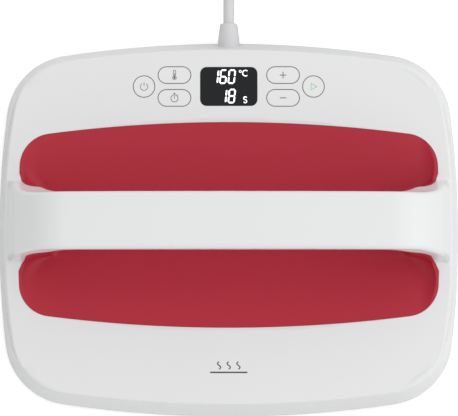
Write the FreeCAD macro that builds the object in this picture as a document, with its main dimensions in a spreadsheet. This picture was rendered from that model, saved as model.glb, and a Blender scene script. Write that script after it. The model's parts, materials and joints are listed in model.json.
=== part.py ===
"""A hand-held flat heat press: a heated plate in a low white body, with a bridge handle over a red hand well.

Frame: millimetres, +Z up, +X to the right and +Y to the back, where the power cord leaves. The origin is the
centre of the plate's pressing face, so the press rests on the plane z = 0.

Every sub-part is one object of the document, named by its Label; its sizes are bound to the Dims spreadsheet.
"""

import FreeCAD, Part
import math
import os
import re

import Sketcher
from FreeCAD import Placement, Rotation, Vector

# ---------------------------------------------------------------- driving dimensions
DIMENSIONS = [
    # body outline, seen from above: four shallow arcs joined by corner arcs
    ("body_half_width", 170.0, "outline at the foot of the body, half of the X size"),
    ("body_half_depth", 138.5, "outline at the foot of the body, half of the Y size"),
    ("end_radius", 820.0, "radius of the front and back arcs"),
    ("side_radius", 700.0, "radius of the left and right arcs"),
    ("corner_radius", 50.0, "radius of the corner arcs"),
    # heated plate and what stands on it
    ("plate_width", 304.8, "12 inch plate"),
    ("plate_depth", 254.0, "10 inch plate"),
    ("plate_thickness", 10.0, "cast plate"),
    ("plate_corner", 42.0, "plan corner radius of the plate"),
    ("plate_edge", 1.5, "rounding of the pressing face's edge"),
    ("tube_radius", 4.0, "heating element"),
    ("tube_height", 10.5, "height of the heating element's axis"),
    ("tube_bend", 40.0, "radius of the heating element's bends, half of the pitch of its runs"),
    ("tube_back", 95.0, "where the heating element ends, at the back"),
    ("fit", 0.05, "clearance of a fixed fit"),
    ("clearance", 0.3, "clearance of parts that drop into each other"),
    ("element_front", -65.0, "centres of the heating element's front bends"),
    ("element_middle", 55.0, "centre of the heating element's back bend"),
    ("bead_length", 8.0, "insulating beads on the element's ends"),
    ("tab_width", 6.3, "flat connectors of the heating element"),
    ("tab_length", 8.0, "flat connectors of the heating element"),
    ("tab_sheet", 0.8, "flat connectors of the heating element"),
    ("sensor_x", 12.0, "temperature sensor, and the cutout on the other side"),
    ("sensor_y", -30.0, "temperature sensor and thermal cutout"),
    # heights of the casing
    ("base_bottom", 3.5, "underside of the base shell; the plate stands proud by this much"),
    ("base_top", 15.0, "top of the base shell's rim"),
    ("base_edge", 1.2, "rounding of the base shell's outer edges"),
    ("flange_bottom", 11.5, "underside of the base shell's inner flange"),
    ("flange_top", 14.5, "top of the base shell's inner flange"),
    ("flange_width", 262.0, "opening inside the flange"),
    ("flange_depth", 232.0, "opening inside the flange"),
    ("flange_corner", 25.0, "opening inside the flange"),
    ("shell_seat", 13.0, "seats of the shell screws' heads, sunk in the flange"),
    ("rim_width", 3.4, "width of the base shell's upstanding rim"),
    ("plate_gap", 1.5, "gap between the plate and the base shell"),
    ("skirt_bottom", 15.6, "foot of the top shell's skirt, a shadow gap above the base shell"),
    ("crown_top", 52.0, "highest point of the body's crowned top surface"),
    ("crown_radius", 3000.0, "radius of the crowned top surface"),
    ("skirt_inset", 1.2, "inset of the skirt's foot from the body outline"),
    ("skirt_draft", 14.0, "slope of the skirt, degrees from vertical"),
    ("shoulder_radius", 2.5, "rounding between the skirt and the top surface"),
    ("wall", 2.6, "wall of the moulded shells"),
    ("shell_boss", 4.0, "radius of the top shell's screw bosses"),
    ("board_boss", 3.2, "radius of the bosses for the control board"),
    ("well_boss", 3.5, "radius of the bosses for the hand well"),
    ("well_boss_bottom", 42.4, "foot of the bosses for the hand well"),
    # holes for screws: clearance holes and the narrower holes the threads bite in, all as radii
    ("plate_hole", 2.15, "M4 clearance"),
    ("shell_hole", 1.6, "M3 clearance"),
    ("pilot", 1.55, "M3 threads"),
    ("board_pilot", 1.3, "M2.5 threads"),
    # bridge handle
    ("handle_half_width", 152.0, "outer face of the handle's legs"),
    ("handle_top", 115.0, "highest point of the handle"),
    ("handle_crown", 1500.0, "radius of the handle's top along X"),
    ("handle_corner", 40.0, "radius of the handle's shoulders"),
    ("handle_half_depth", 20.6, "half of the handle's width along Y"),
    ("handle_edge", 3.0, "rounding of the handle's upper edges"),
    ("flare_top", 100.0, "height above which the handle's flanks are vertical"),
    ("flare_radius", 300.0, "radius of the flare of the flanks towards the legs' feet"),
    ("leg_foot", 41.5, "lower end of the handle's legs, inside the body"),
    ("leg_foot_depth", 26.7, "half of a leg's width along Y at its foot"),
    # hand opening through the handle and its red lining
    ("tunnel_half_width", 143.8, "inner edge of the handle's legs"),
    ("tunnel_top", 101.4, "lower edge of the handle's flanks"),
    ("tunnel_corner", 36.4, "corner radius of the opening"),
    ("grip_bulge", 6.4, "how far the grip's middle stands out of the opening's edges"),
    ("grip_half_depth", 17.7, "half of the grip's width along Y"),
    ("liner", 2.5, "thickness of the red linings"),
    # hand well in the top of the body
    ("well_half_width", 151.8, "rim of the well, half of the X size"),
    ("well_half_depth", 73.5, "rim of the well, half of the Y size"),
    ("well_end_radius", 1033.0, "radius of the rim's front and back arcs"),
    ("well_side_radius", 1200.0, "radius of the rim's side arcs"),
    ("well_corner", 24.0, "corner radius of the rim"),
    ("dish_floor", 39.35, "lowest height of the well's dished floor"),
    ("dish_radius", 229.8, "radius of the dished floor about an axis along X"),
    ("dish_half_width", 159.4, "where the dish's end walls would stand"),
    ("dish_corner", 25.0, "rounding from the dish's floor to its end walls"),
    # control panel
    ("panel_y", 102.0, "centre of the display and the buttons"),
    ("window_width", 41.5, "display window"),
    ("window_depth", 28.4, "display window"),
    ("window_corner", 4.7, "display window"),
    ("round_x", 61.8, "centres of the two round buttons"),
    ("round_radius", 7.6, "round buttons"),
    ("pill_x", 39.6, "centres of the four oval buttons"),
    ("pill_rise", 8.4, "distance of the oval buttons from the panel's centre line"),
    ("pill_width", 23.3, "oval buttons"),
    ("pill_depth", 11.7, "oval buttons"),
    ("button_gap", 0.35, "gap round each button"),
    ("window_gap", 0.2, "gap round the display window"),
    ("lip", 1.2, "retaining lip round the foot of each button and of the window"),
    ("lip_bottom", 45.4, "underside of the retaining lips"),
    ("lip_top", 46.4, "top of the retaining lips"),
    # circuit boards and switches
    ("board", 1.6, "thickness of the circuit boards"),
    ("control_top", 40.0, "top of the control board"),
    ("control_width", 150.0, "control board"),
    ("control_depth", 38.0, "control board"),
    ("switch_size", 6.0, "tactile switch"),
    ("switch_top", 43.5, "top of a tactile switch's body"),
    ("plunger_top", 44.6, "top of a switch's plunger at rest"),
    ("plunger_radius", 1.75, "switch plunger"),
    ("power_bottom", 27.0, "underside of the power board"),
    ("power_y", -88.0, "centre of the power board"),
    ("power_width", 112.0, "power board"),
    ("power_depth", 46.0, "power board"),
    ("shield_top", 22.8, "top of the heat shield"),
    ("shield_sheet", 0.8, "sheet of the heat shield"),
    ("shield_width", 266.0, "raised part of the heat shield"),
    ("shield_depth", 226.0, "heat shield"),
    ("shield_corner", 38.0, "plan corner radius of the heat shield"),
    ("shield_tab", 8.0, "how far the heat shield's side flanges reach out"),
    ("pad_width", 258.0, "insulation pad"),
    ("pad_depth", 210.0, "insulation pad"),
    ("pad_height", 6.0, "insulation pad"),
    ("wire_radius", 1.2, "mains wires with their insulation"),
    ("sensor_wire", 0.7, "radius of the sensor's wires"),
    # power cord
    ("cord_radius", 4.0, "sheath of the power cord"),
    ("cord_height", 27.5, "height of the cord where it leaves the body"),
    ("boot_hole", 8.4, "radius of the opening for the cord's boot"),
    ("coil_radius", 47.0, "radius of the coiled cord"),
    ("coil_x", 47.0, "centre of the coil"),
    ("coil_y", 235.0, "centre of the coil"),
    ("coil_pitch", 8.4, "rise of the coil per turn"),
    ("plug_radius", 19.0, "plug body"),
    ("pin_radius", 2.4, "plug pins, 4.8 mm in diameter"),
    ("pin_length", 19.0, "plug pins"),
    ("pin_shank", 2.0, "radius of a pin's shank inside the plug"),
    ("pin_shank_length", 9.0, "a pin's shank inside the plug"),
    ("pin_chamfer", 1.0, "bevel of a pin's tip"),
    ("pin_spacing", 19.0, "plug pins, centre to centre"),
]

doc = FreeCAD.newDocument("HeatPress")
dims = doc.addObject("Spreadsheet::Sheet", "Dims")
for row, (alias, number, meaning) in enumerate(DIMENSIONS, 1):
    dims.set(f"A{row}", alias)
    dims.set(f"B{row}", str(number))
    dims.set(f"C{row}", meaning)
    dims.setAlias(f"B{row}", alias)
doc.recompute()
ALIASES = {alias for alias, _, _ in DIMENSIONS}

X_AXIS = Vector(1, 0, 0)
Y_AXIS = Vector(0, 1, 0)
# features that take material away, each compared with the shape it started from before anything is written
CUTS = []


# ---------------------------------------------------------------- expressions
def bound(expression):
    """The expression with each alias written as a reference to the spreadsheet."""
    def prefix(match):
        word = match.group(0)
        return "Dims." + word if word in ALIASES else word
    return re.sub(r"[A-Za-z_][A-Za-z0-9_]*", prefix, str(expression))


def value(expression):
    """The number that an expression gives now."""
    return float(doc.getObject("Dims").evalExpression(str(expression)))


def bind(obj, prop, expression):
    obj.setExpression(prop, bound(expression))


def at(x=0, y=0, z=0):
    """A place as three expressions."""
    return (str(x), str(y), str(z))


def put(obj, place):
    for axis, expression in zip("xyz", place):
        bind(obj, f"Placement.Base.{axis}", expression)


# ---------------------------------------------------------------- sketches
def body_sketch(body, plane, offset="0"):
    """A sketch on one of the body's own origin planes, moved along the plane's normal."""
    sketch = body.newObject("Sketcher::SketchObject", body.Label + "_sketch")
    support = [f for f in body.Origin.OriginFeatures if f.Role == plane][0]
    sketch.AttachmentSupport = (support, [""])
    sketch.MapMode = "FlatFace"
    bind(sketch, "AttachmentOffset.Base.z", offset)
    return sketch


def hold(sketch, kind, *where, size):
    """Adds a sized constraint that follows an expression."""
    index = sketch.addConstraint(Sketcher.Constraint(kind, *where, value(size)))
    bind(sketch, f"Constraints[{index}]", size)


def pin(sketch, geometry, point, x, y):
    """Holds one point of a sketch element at x, y."""
    hold(sketch, "DistanceX", -1, 1, geometry, point, size=x)
    hold(sketch, "DistanceY", -1, 1, geometry, point, size=y)


def join_smooth(sketch, chain):
    """Joins each element's end to the next one's start, tangentially."""
    for here, there in zip(chain, chain[1:] + chain[:1]):
        sketch.addConstraint(Sketcher.Constraint("Tangent", here, 2, there, 1))


def arc(sketch, x, y, radius, start, end):
    circle_part = Part.Circle(Vector(x, y, 0), Vector(0, 0, 1), radius)
    return sketch.addGeometry(Part.ArcOfCircle(circle_part, start, end), False)


def circle(sketch, x, y, radius):
    shape = Part.Circle(Vector(value(x), value(y), 0), Vector(0, 0, 1), value(radius))
    index = sketch.addGeometry(shape, False)
    hold(sketch, "Radius", index, size=radius)
    pin(sketch, index, 3, x, y)


def polygon(sketch, points):
    """A closed outline of straight lines through points given as pairs of expressions."""
    corners = [Vector(value(x), value(y), 0) for x, y in points]
    first = sketch.GeometryCount
    for here, there in zip(corners, corners[1:] + corners[:1]):
        sketch.addGeometry(Part.LineSegment(here, there), False)
    count = len(points)
    for i, (x, y) in enumerate(points):
        sketch.addConstraint(Sketcher.Constraint("Coincident", first + i, 2, first + (i + 1) % count, 1))
        pin(sketch, first + i, 1, x, y)


def rounded_box(sketch, x, y, width, height, radius):
    """A rectangle centred on x, y with four equal corner arcs."""
    left, right = f"({x}) - ({width}) / 2", f"({x}) + ({width}) / 2"
    low, high = f"({y}) - ({height}) / 2", f"({y}) + ({height}) / 2"
    x0, x1, y0, y1, r = (value(e) for e in (left, right, low, high, radius))
    chain = []
    for cx, cy, start, line in (
        (x1 - r, y0 + r, -90, ((x0 + r, y0), (x1 - r, y0))),
        (x1 - r, y1 - r, 0, ((x1, y0 + r), (x1, y1 - r))),
        (x0 + r, y1 - r, 90, ((x1 - r, y1), (x0 + r, y1))),
        (x0 + r, y0 + r, 180, ((x0, y1 - r), (x0, y0 + r))),
    ):
        ends = [Vector(px, py, 0) for px, py in line]
        chain.append(sketch.addGeometry(Part.LineSegment(*ends), False))
        chain.append(arc(sketch, cx, cy, r, math.radians(start), math.radians(start + 90)))
    join_smooth(sketch, chain)
    for line in chain[0::4]:
        sketch.addConstraint(Sketcher.Constraint("Horizontal", line))
    for line in chain[2::4]:
        sketch.addConstraint(Sketcher.Constraint("Vertical", line))
    for corner in chain[3::2]:
        sketch.addConstraint(Sketcher.Constraint("Equal", chain[1], corner))
    hold(sketch, "Radius", chain[1], size=radius)
    hold(sketch, "DistanceY", -1, 1, chain[0], 1, size=low)
    hold(sketch, "DistanceX", -1, 1, chain[2], 1, size=right)
    hold(sketch, "DistanceY", -1, 1, chain[4], 1, size=high)
    hold(sketch, "DistanceX", -1, 1, chain[6], 1, size=left)


# ---------------------------------------------------------------- features
def new_body(label):
    body = doc.addObject("PartDesign::Body", label)
    body.Label = label
    return body


def pad(body, sketch, length, midplane=False, taper=None):
    feature = body.newObject("PartDesign::Pad", body.Label + "_pad")
    feature.Profile = sketch
    bind(feature, "Length", length)
    feature.Midplane = midplane
    if taper:
        bind(feature, "TaperAngle", taper)
    return feature


def pocket(body, sketch, length):
    """Cuts from the sketch along its normal."""
    feature = body.newObject("PartDesign::Pocket", body.Label + "_pocket")
    feature.Profile = sketch
    bind(feature, "Length", length)
    feature.Reversed = True
    CUTS.append(feature)
    return feature


def boolean(kind, label, shapes):
    """Part::MultiFuse, Part::MultiCommon or Part::Cut of shapes; a Cut takes the rest from the first."""
    feature = doc.addObject(kind, label)
    feature.Label = label
    if kind == "Part::Cut":
        feature.Base = shapes[0]
        tools = shapes[1:]
        feature.Tool = tools[0] if len(tools) == 1 else boolean("Part::MultiFuse", label + "_tools", tools)
        CUTS.append(feature)
    else:
        feature.Shapes = shapes
    return feature


def cut(label, base, *tools):
    return boolean("Part::Cut", label, [base, *tools])


def fuse(label, *shapes):
    return boolean("Part::MultiFuse", label, list(shapes))


def common(label, *shapes):
    return boolean("Part::MultiCommon", label, list(shapes))


def cylinder(label, place, radius, height, direction=Vector(0, 0, 1)):
    feature = doc.addObject("Part::Cylinder", label)
    feature.Label = label
    bind(feature, "Radius", radius)
    bind(feature, "Height", height)
    feature.Placement = Placement(Vector(), Rotation(Vector(0, 0, 1), direction))
    put(feature, place)
    return feature


def box(label, centre, width, depth, height):
    """A box centred on x and y, standing on z."""
    feature = doc.addObject("Part::Box", label)
    feature.Label = label
    bind(feature, "Length", width)
    bind(feature, "Width", depth)
    bind(feature, "Height", height)
    x, y, z = centre
    put(feature, (f"({x}) - ({width}) / 2", f"({y}) - ({depth}) / 2", z))
    return feature


def ball(label, top, radius):
    """A large ball whose highest point is at height top on the Z axis."""
    feature = doc.addObject("Part::Sphere", label)
    feature.Label = label
    bind(feature, "Radius", radius)
    put(feature, at(0, 0, f"{top} - ({radius})"))
    return feature


def round_edges(label, base, radius, chosen):
    """Part::Fillet of the base's edges for which chosen(edge) is true."""
    doc.recompute()
    feature = doc.addObject("Part::Fillet", label)
    feature.Label = label
    feature.Base = base
    size = value(radius)
    feature.Edges = [(i, size, size) for i, edge in enumerate(base.Shape.Edges, 1) if chosen(edge)]
    return feature


# ---------------------------------------------------------------- shared forms
def barrel(sketch, half_x, half_y, side_radius, end_radius, corner, inset="0"):
    """Four shallow arcs joined by corner arcs, moved inwards by inset: every arc keeps its centre."""
    side, end, round_ = (value(f"{r} - ({inset})") for r in (side_radius, end_radius, corner))
    side_x = value(f"{half_x} - {side_radius}")
    end_y = value(f"{half_y} - {end_radius}")
    # the corner's centre is where the circles about the arc centres, less the corner radius, cross
    gap = math.hypot(side_x, end_y)
    along = ((side - round_) ** 2 - (end - round_) ** 2 + gap**2) / (2 * gap)
    across = math.sqrt((side - round_) ** 2 - along**2)
    ux, uy = -side_x / gap, end_y / gap
    cx = side_x + along * ux - across * uy
    cy = along * uy + across * ux
    side_turn = math.atan2(cy, cx - side_x)
    end_turn = math.atan2(cy - end_y, cx)
    half = math.pi
    chain = [
        arc(sketch, side_x, 0, side, -side_turn, side_turn),
        arc(sketch, cx, cy, round_, side_turn, end_turn),
        arc(sketch, 0, end_y, end, end_turn, half - end_turn),
        arc(sketch, -cx, cy, round_, half - end_turn, half - side_turn),
        arc(sketch, -side_x, 0, side, half - side_turn, half + side_turn),
        arc(sketch, -cx, -cy, round_, half + side_turn, half + end_turn),
        arc(sketch, 0, -end_y, end, half + end_turn, 2 * half - end_turn),
        arc(sketch, cx, -cy, round_, 2 * half - end_turn, 2 * half - side_turn),
    ]
    join_smooth(sketch, chain)
    for arcs, axis, kind, centre, radius in (
        (chain[0::4], -1, "DistanceX", f"{half_x} - {side_radius}", side_radius),
        (chain[2::4], -2, "DistanceY", f"{half_y} - {end_radius}", end_radius),
    ):
        first, second = arcs
        for index in arcs:
            sketch.addConstraint(Sketcher.Constraint("PointOnObject", index, 3, axis))
        sketch.addConstraint(Sketcher.Constraint("Equal", first, second))
        hold(sketch, "Radius", first, size=f"{radius} - ({inset})")
        hold(sketch, kind, -1, 1, first, 3, size=centre)
        hold(sketch, kind, -1, 1, second, 3, size=f"-({centre})")
    for corner_arc in chain[3::2]:
        sketch.addConstraint(Sketcher.Constraint("Equal", chain[1], corner_arc))
    hold(sketch, "Radius", chain[1], size=f"{corner} - ({inset})")


def body_outline(sketch, inset):
    barrel(sketch, "body_half_width", "body_half_depth", "side_radius", "end_radius", "corner_radius", inset)


def well_outline(sketch, inset):
    halves, radii = ("well_half_width", "well_half_depth"), ("well_side_radius", "well_end_radius")
    barrel(sketch, *halves, *radii, "well_corner", inset)


def plate(label, bottom, height, draw, *args):
    """A body padded upwards from one sketch on the plane z = bottom."""
    body = new_body(label)
    slab(body, bottom, height, draw, *args)
    return body


def slab(body, bottom, height, draw, *args):
    """Adds one more pad to a body; draw(sketch, *args) draws its outline."""
    sketch = body_sketch(body, "XY_Plane", bottom)
    draw(sketch, *args)
    return pad(body, sketch, height)


def recess(body, bottom, height, draw, *args):
    """Cuts upwards from z = bottom."""
    sketch = body_sketch(body, "XY_Plane", bottom)
    draw(sketch, *args)
    return pocket(body, sketch, height)


def circles(sketch, places, radius):
    for x, y in places:
        circle(sketch, x, y, radius)


def four(x, y):
    """The four mirror places of x, y."""
    return [(f"{sx}({x})", f"{sy}({y})") for sx in ("", "-") for sy in ("", "-")]


def rounded_slab(body_label, bottom, height, width, depth, corner, x="0", y="0"):
    return plate(body_label, bottom, height, rounded_box, x, y, width, depth, corner)


def skirt_form(label, inset, crown):
    """The body below the crowned top surface, with its drafted skirt."""
    prism = new_body(label + "_prism")
    sketch = body_sketch(prism, "XY_Plane", "skirt_bottom")
    body_outline(sketch, f"skirt_inset + ({inset})")
    pad(prism, sketch, "crown_top - skirt_bottom + 3", taper="-skirt_draft")
    return common(label, prism, ball(label + "_ball", crown, "crown_radius"))


def arch(label, half, foot, top_z, corner, crown, depth):
    """An upright arch across X: legs, shoulder arcs and a crowned top, padded evenly to both sides."""
    body = new_body(label)
    sketch = body_sketch(body, "XZ_Plane")
    crown_z = f"({top_z}) - ({crown})"
    x, z0, r, big, cz = (value(e) for e in (half, foot, corner, crown, crown_z))
    corner_x = x - r
    corner_z = cz + math.sqrt((big - r) ** 2 - corner_x**2)
    turn = math.atan2(corner_z - cz, corner_x)
    chain = [
        sketch.addGeometry(Part.LineSegment(Vector(x, z0, 0), Vector(x, corner_z, 0)), False),
        arc(sketch, corner_x, corner_z, r, 0, turn),
        arc(sketch, 0, cz, big, turn, math.pi - turn),
        arc(sketch, -corner_x, corner_z, r, math.pi - turn, math.pi),
        sketch.addGeometry(Part.LineSegment(Vector(-x, corner_z, 0), Vector(-x, z0, 0)), False),
        sketch.addGeometry(Part.LineSegment(Vector(-x, z0, 0), Vector(x, z0, 0)), False),
    ]
    for here, there in zip(chain[:4], chain[1:5]):
        sketch.addConstraint(Sketcher.Constraint("Tangent", here, 2, there, 1))
    sketch.addConstraint(Sketcher.Constraint("Coincident", chain[4], 2, chain[5], 1))
    sketch.addConstraint(Sketcher.Constraint("Coincident", chain[5], 2, chain[0], 1))
    sketch.addConstraint(Sketcher.Constraint("Vertical", chain[0]))
    sketch.addConstraint(Sketcher.Constraint("Vertical", chain[4]))
    sketch.addConstraint(Sketcher.Constraint("Horizontal", chain[5]))
    sketch.addConstraint(Sketcher.Constraint("Equal", chain[1], chain[3]))
    hold(sketch, "Radius", chain[1], size=corner)
    hold(sketch, "Radius", chain[2], size=crown)
    pin(sketch, chain[2], 3, "0", crown_z)
    pin(sketch, chain[5], 1, f"-({half})", foot)
    hold(sketch, "DistanceX", -1, 1, chain[5], 2, size=half)
    pad(body, sketch, depth, midplane=True)
    return body


def flank_form(label):
    """A long bar across X whose flanks are upright above and flare outwards towards the legs' feet."""
    body = new_body(label)
    sketch = body_sketch(body, "YZ_Plane")
    half, foot, high = "handle_half_depth", "leg_foot - 1", "handle_top + 5"
    y, r, top, z0, z1 = (value(e) for e in (half, "flare_radius", "flare_top", foot, high))
    drop = math.asin((top - z0) / r)
    foot_y = y + r * (1 - math.cos(drop))
    chain = [
        sketch.addGeometry(Part.LineSegment(Vector(-foot_y, z0, 0), Vector(foot_y, z0, 0)), False),
        arc(sketch, y + r, top, r, math.pi, math.pi + drop),
        sketch.addGeometry(Part.LineSegment(Vector(y, top, 0), Vector(y, z1, 0)), False),
        sketch.addGeometry(Part.LineSegment(Vector(y, z1, 0), Vector(-y, z1, 0)), False),
        sketch.addGeometry(Part.LineSegment(Vector(-y, z1, 0), Vector(-y, top, 0)), False),
        arc(sketch, -y - r, top, r, -drop, 0),
    ]
    sketch.addConstraint(Sketcher.Constraint("Coincident", chain[0], 2, chain[1], 2))
    sketch.addConstraint(Sketcher.Constraint("Tangent", chain[1], 1, chain[2], 1))
    sketch.addConstraint(Sketcher.Constraint("Coincident", chain[2], 2, chain[3], 1))
    sketch.addConstraint(Sketcher.Constraint("Coincident", chain[3], 2, chain[4], 1))
    sketch.addConstraint(Sketcher.Constraint("Tangent", chain[4], 2, chain[5], 2))
    sketch.addConstraint(Sketcher.Constraint("Coincident", chain[5], 1, chain[0], 1))
    for line in (chain[2], chain[4]):
        sketch.addConstraint(Sketcher.Constraint("Vertical", line))
    for line in (chain[0], chain[3]):
        sketch.addConstraint(Sketcher.Constraint("Horizontal", line))
    sketch.addConstraint(Sketcher.Constraint("Equal", chain[1], chain[5]))
    hold(sketch, "Radius", chain[1], size="flare_radius")
    pin(sketch, chain[2], 1, half, "flare_top")
    pin(sketch, chain[4], 2, f"-{half}", "flare_top")
    hold(sketch, "DistanceY", -1, 1, chain[3], 1, size=high)
    hold(sketch, "DistanceY", -1, 1, chain[0], 1, size=foot)
    pad(body, sketch, "2 * handle_half_width + 20", midplane=True)
    return body


def dish_form(label, grow):
    """The space above the well's floor: a wide drum about an axis along X with rounded ends."""
    half = f"(dish_half_width + ({grow}))"
    centre_z = "dish_floor + dish_radius"
    start = at(f"-{half}", 0, centre_z)
    drum = cylinder(label + "_drum", start, f"dish_radius + ({grow})", f"2 * {half}", X_AXIS)
    return round_edges(label, drum, f"dish_corner + ({grow})", lambda e: e.BoundBox.XLength < 1)


def leg_block(label, gap):
    """The room that a leg's foot takes in the well, on both sides."""
    depth = f"2 * (leg_foot_depth + ({gap}))"
    width = "20"
    centre = f"tunnel_half_width - ({gap}) + {width} / 2"
    return fuse(label, *(
        box(f"{label}_{side}", at(f"{sign}({centre})", 0, "flange_top"), width, depth, "handle_top")
        for side, sign in (("right", ""), ("left", "-"))
    ))


crown_ball = ball("crown_ball", "crown_top", "crown_radius")

# where screws and buttons are, seen from above
PLATE_SCREWS = four("131", "106") + four("147", "40")
SHELL_SCREWS = four("92", "120.5") + four("146", "80") + [("148", "0"), ("-148", "0")]
WELL_SCREWS = four("105", "77")
BOARD_SCREWS = [(x, f"panel_y {y}") for x in ("-70", "70") for y in ("- 15", "+ 15")]
POWER_SCREWS = [(x, f"power_y {y}") for x in ("-51", "51") for y in ("- 19", "+ 19")]
SHIELD_SCREWS = four("137", "55")
CLAMP_SCREWS = [("-8.5", "120"), ("8.5", "120")]
# where the sensor's wires pass through the insulation and the heat shield
SENSOR_PASS = ("0", "-48")

ROUND_BUTTONS = {"power_button": ("-round_x", "panel_y"), "start_button": ("round_x", "panel_y")}
PILL_BUTTONS = {
    "temperature_button": ("-pill_x", "panel_y + pill_rise"),
    "timer_button": ("-pill_x", "panel_y - pill_rise"),
    "plus_button": ("pill_x", "panel_y + pill_rise"),
    "minus_button": ("pill_x", "panel_y - pill_rise"),
}
BUTTONS = {**ROUND_BUTTONS, **PILL_BUTTONS}


def button_outline(sketch, name, grow):
    x, y = BUTTONS[name]
    if name in ROUND_BUTTONS:
        circle(sketch, x, y, f"round_radius + ({grow})")
    else:
        width, depth = f"pill_width + 2 * ({grow})", f"pill_depth + 2 * ({grow})"
        rounded_box(sketch, x, y, width, depth, f"({depth}) / 2 - 0.01")


def window_outline(sketch, grow):
    size = (f"window_width + 2 * ({grow})", f"window_depth + 2 * ({grow})", f"window_corner + ({grow})")
    rounded_box(sketch, "0", "panel_y", *size)


# ---------------------------------------------------------------- heated plate
def tube(label, radius, back):
    """A tube along the heating element's path: four runs along Y joined by three bends."""
    body = new_body(label)
    path = body_sketch(body, "XY_Plane", "tube_height")
    bend, front, turn_back = value("tube_bend"), value("element_front"), value("element_middle")
    y_end = value(back)
    half = math.pi
    chain = [
        path.addGeometry(Part.LineSegment(Vector(-3 * bend, y_end, 0), Vector(-3 * bend, front, 0)), False),
        arc(path, -2 * bend, front, bend, half, 2 * half),
        path.addGeometry(Part.LineSegment(Vector(-bend, front, 0), Vector(-bend, turn_back, 0)), False),
        arc(path, 0, turn_back, bend, 0, half),
        path.addGeometry(Part.LineSegment(Vector(bend, turn_back, 0), Vector(bend, front, 0)), False),
        arc(path, 2 * bend, front, bend, half, 2 * half),
        path.addGeometry(Part.LineSegment(Vector(3 * bend, front, 0), Vector(3 * bend, y_end, 0)), False),
    ]
    # a bend that is passed clockwise starts at its arc's second end
    for here, end, there, start in (
        (0, 2, 1, 1), (1, 2, 2, 1), (2, 2, 3, 2), (3, 1, 4, 1), (4, 2, 5, 1), (5, 2, 6, 1)
    ):
        path.addConstraint(Sketcher.Constraint("Tangent", chain[here], end, chain[there], start))
    for line in chain[0::2]:
        path.addConstraint(Sketcher.Constraint("Vertical", line))
    pin(path, chain[1], 3, "-2 * tube_bend", "element_front")
    pin(path, chain[3], 3, "0", "element_middle")
    pin(path, chain[5], 3, "2 * tube_bend", "element_front")
    hold(path, "Radius", chain[1], size="tube_bend")
    hold(path, "DistanceY", -1, 1, chain[0], 1, size=back)
    hold(path, "DistanceY", -1, 1, chain[6], 2, size=back)
    profile = body_sketch(body, "XZ_Plane", f"-({back})")
    circle(profile, "-3 * tube_bend", "tube_height", radius)
    doc.recompute()
    pipe = body.newObject("PartDesign::AdditivePipe", label + "_pipe")
    pipe.Profile = profile
    pipe.Spine = path
    return body


def soften(body, radius, chosen):
    """Fillets a body's edges for which chosen(edge) is true."""
    doc.recompute()
    base = body.Tip
    names = [f"Edge{i}" for i, edge in enumerate(base.Shape.Edges, 1) if chosen(edge)]
    fillet = body.newObject("PartDesign::Fillet", body.Label + "_fillet")
    fillet.Base = (base, names)
    bind(fillet, "Radius", radius)


def heat_plate():
    body = rounded_slab("plate_blank", "0", "plate_thickness", "plate_width", "plate_depth", "plate_corner")
    blind = "3"
    recess(body, blind, "plate_thickness", circles, PLATE_SCREWS, "2 + fit")
    soften(body, "plate_edge", lambda e: e.BoundBox.ZMax < 0.01)
    cut("heat_plate", body, tube("element_groove", "tube_radius + fit", "tube_back + bead_length + 4"))


def heater():
    tube("heating_element", "tube_radius", "tube_back")
    ends = [("-3 * tube_bend", "left"), ("3 * tube_bend", "right")]
    bead_y, bead_radius = "tube_back + fit", "tube_radius - 0.2"
    beads = [
        cylinder(f"bead_{side}", at(x, bead_y, "tube_height"), bead_radius, "bead_length", Y_AXIS)
        for x, side in ends
    ]
    group("heater_insulators", beads)
    middle, low = "tube_back + bead_length + tab_length / 2 + 0.1", "tube_height - 0.35"
    tabs = [
        box(f"tab_{side}", at(x, middle, low), "tab_width", "tab_length", "tab_sheet")
        for x, side in ends
    ]
    group("heater_terminals", tabs)


def group(label, parts):
    """Identical separate solids as one node."""
    compound = doc.addObject("Part::Compound", label)
    compound.Label = label
    compound.Links = parts
    return compound


def sensors():
    """The temperature sensor and the thermal cutout, on the back of the plate."""
    face, width, bead_radius, disc_height = "plate_thickness + fit", "10", "1.5", "3.5"
    housing = box("sensor_housing", at("sensor_x", "sensor_y", face), width, "8", "2 * " + bead_radius)
    bead_start = at(f"sensor_x + {width} / 2", "sensor_y", f"{face} + {bead_radius}")
    bead = cylinder("sensor_bead", bead_start, bead_radius, "5", X_AXIS)
    fuse("temperature_sensor", housing, bead)
    disc = cylinder("cutout_disc", at("-sensor_x", "sensor_y", face), "7", disc_height)
    crimp = cylinder("cutout_crimp", at("-sensor_x", "sensor_y", f"{face} + {disc_height} - 0.1"), "4", "1.2")
    fuse("thermal_cutout", disc, crimp)


# ---------------------------------------------------------------- screws and spacers
def screws(label, places, under_head, head, shank, length, down=True):
    """Screws with a round drive recess; under_head is the seat's height, down points the shank to -Z."""
    head_radius, head_height = head
    drive, drive_depth = f"{shank} * 0.62", f"({head_height}) * 0.55"
    body = new_body(label)
    body.AllowCompound = True
    if down:
        slab(body, under_head, head_height, circles, places, head_radius)
        slab(body, f"{under_head} - ({length})", length, circles, places, shank)
        recess(body, f"{under_head} + ({head_height}) - {drive_depth}", head_height, circles, places, drive)
    else:
        slab(body, f"{under_head} - ({head_height})", head_height, circles, places, head_radius)
        slab(body, under_head, length, circles, places, shank)
        low = f"{under_head} - 2 * ({head_height}) + {drive_depth}"
        recess(body, low, head_height, circles, places, drive)


def rings(label, places, bottom, height, outer, inner):
    """Round spacers standing on z = bottom."""
    body = new_body(label)
    body.AllowCompound = True
    slab(body, bottom, height, circles, places, outer)
    recess(body, f"{bottom} - 1", f"{height} + 2", circles, places, inner)


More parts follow.
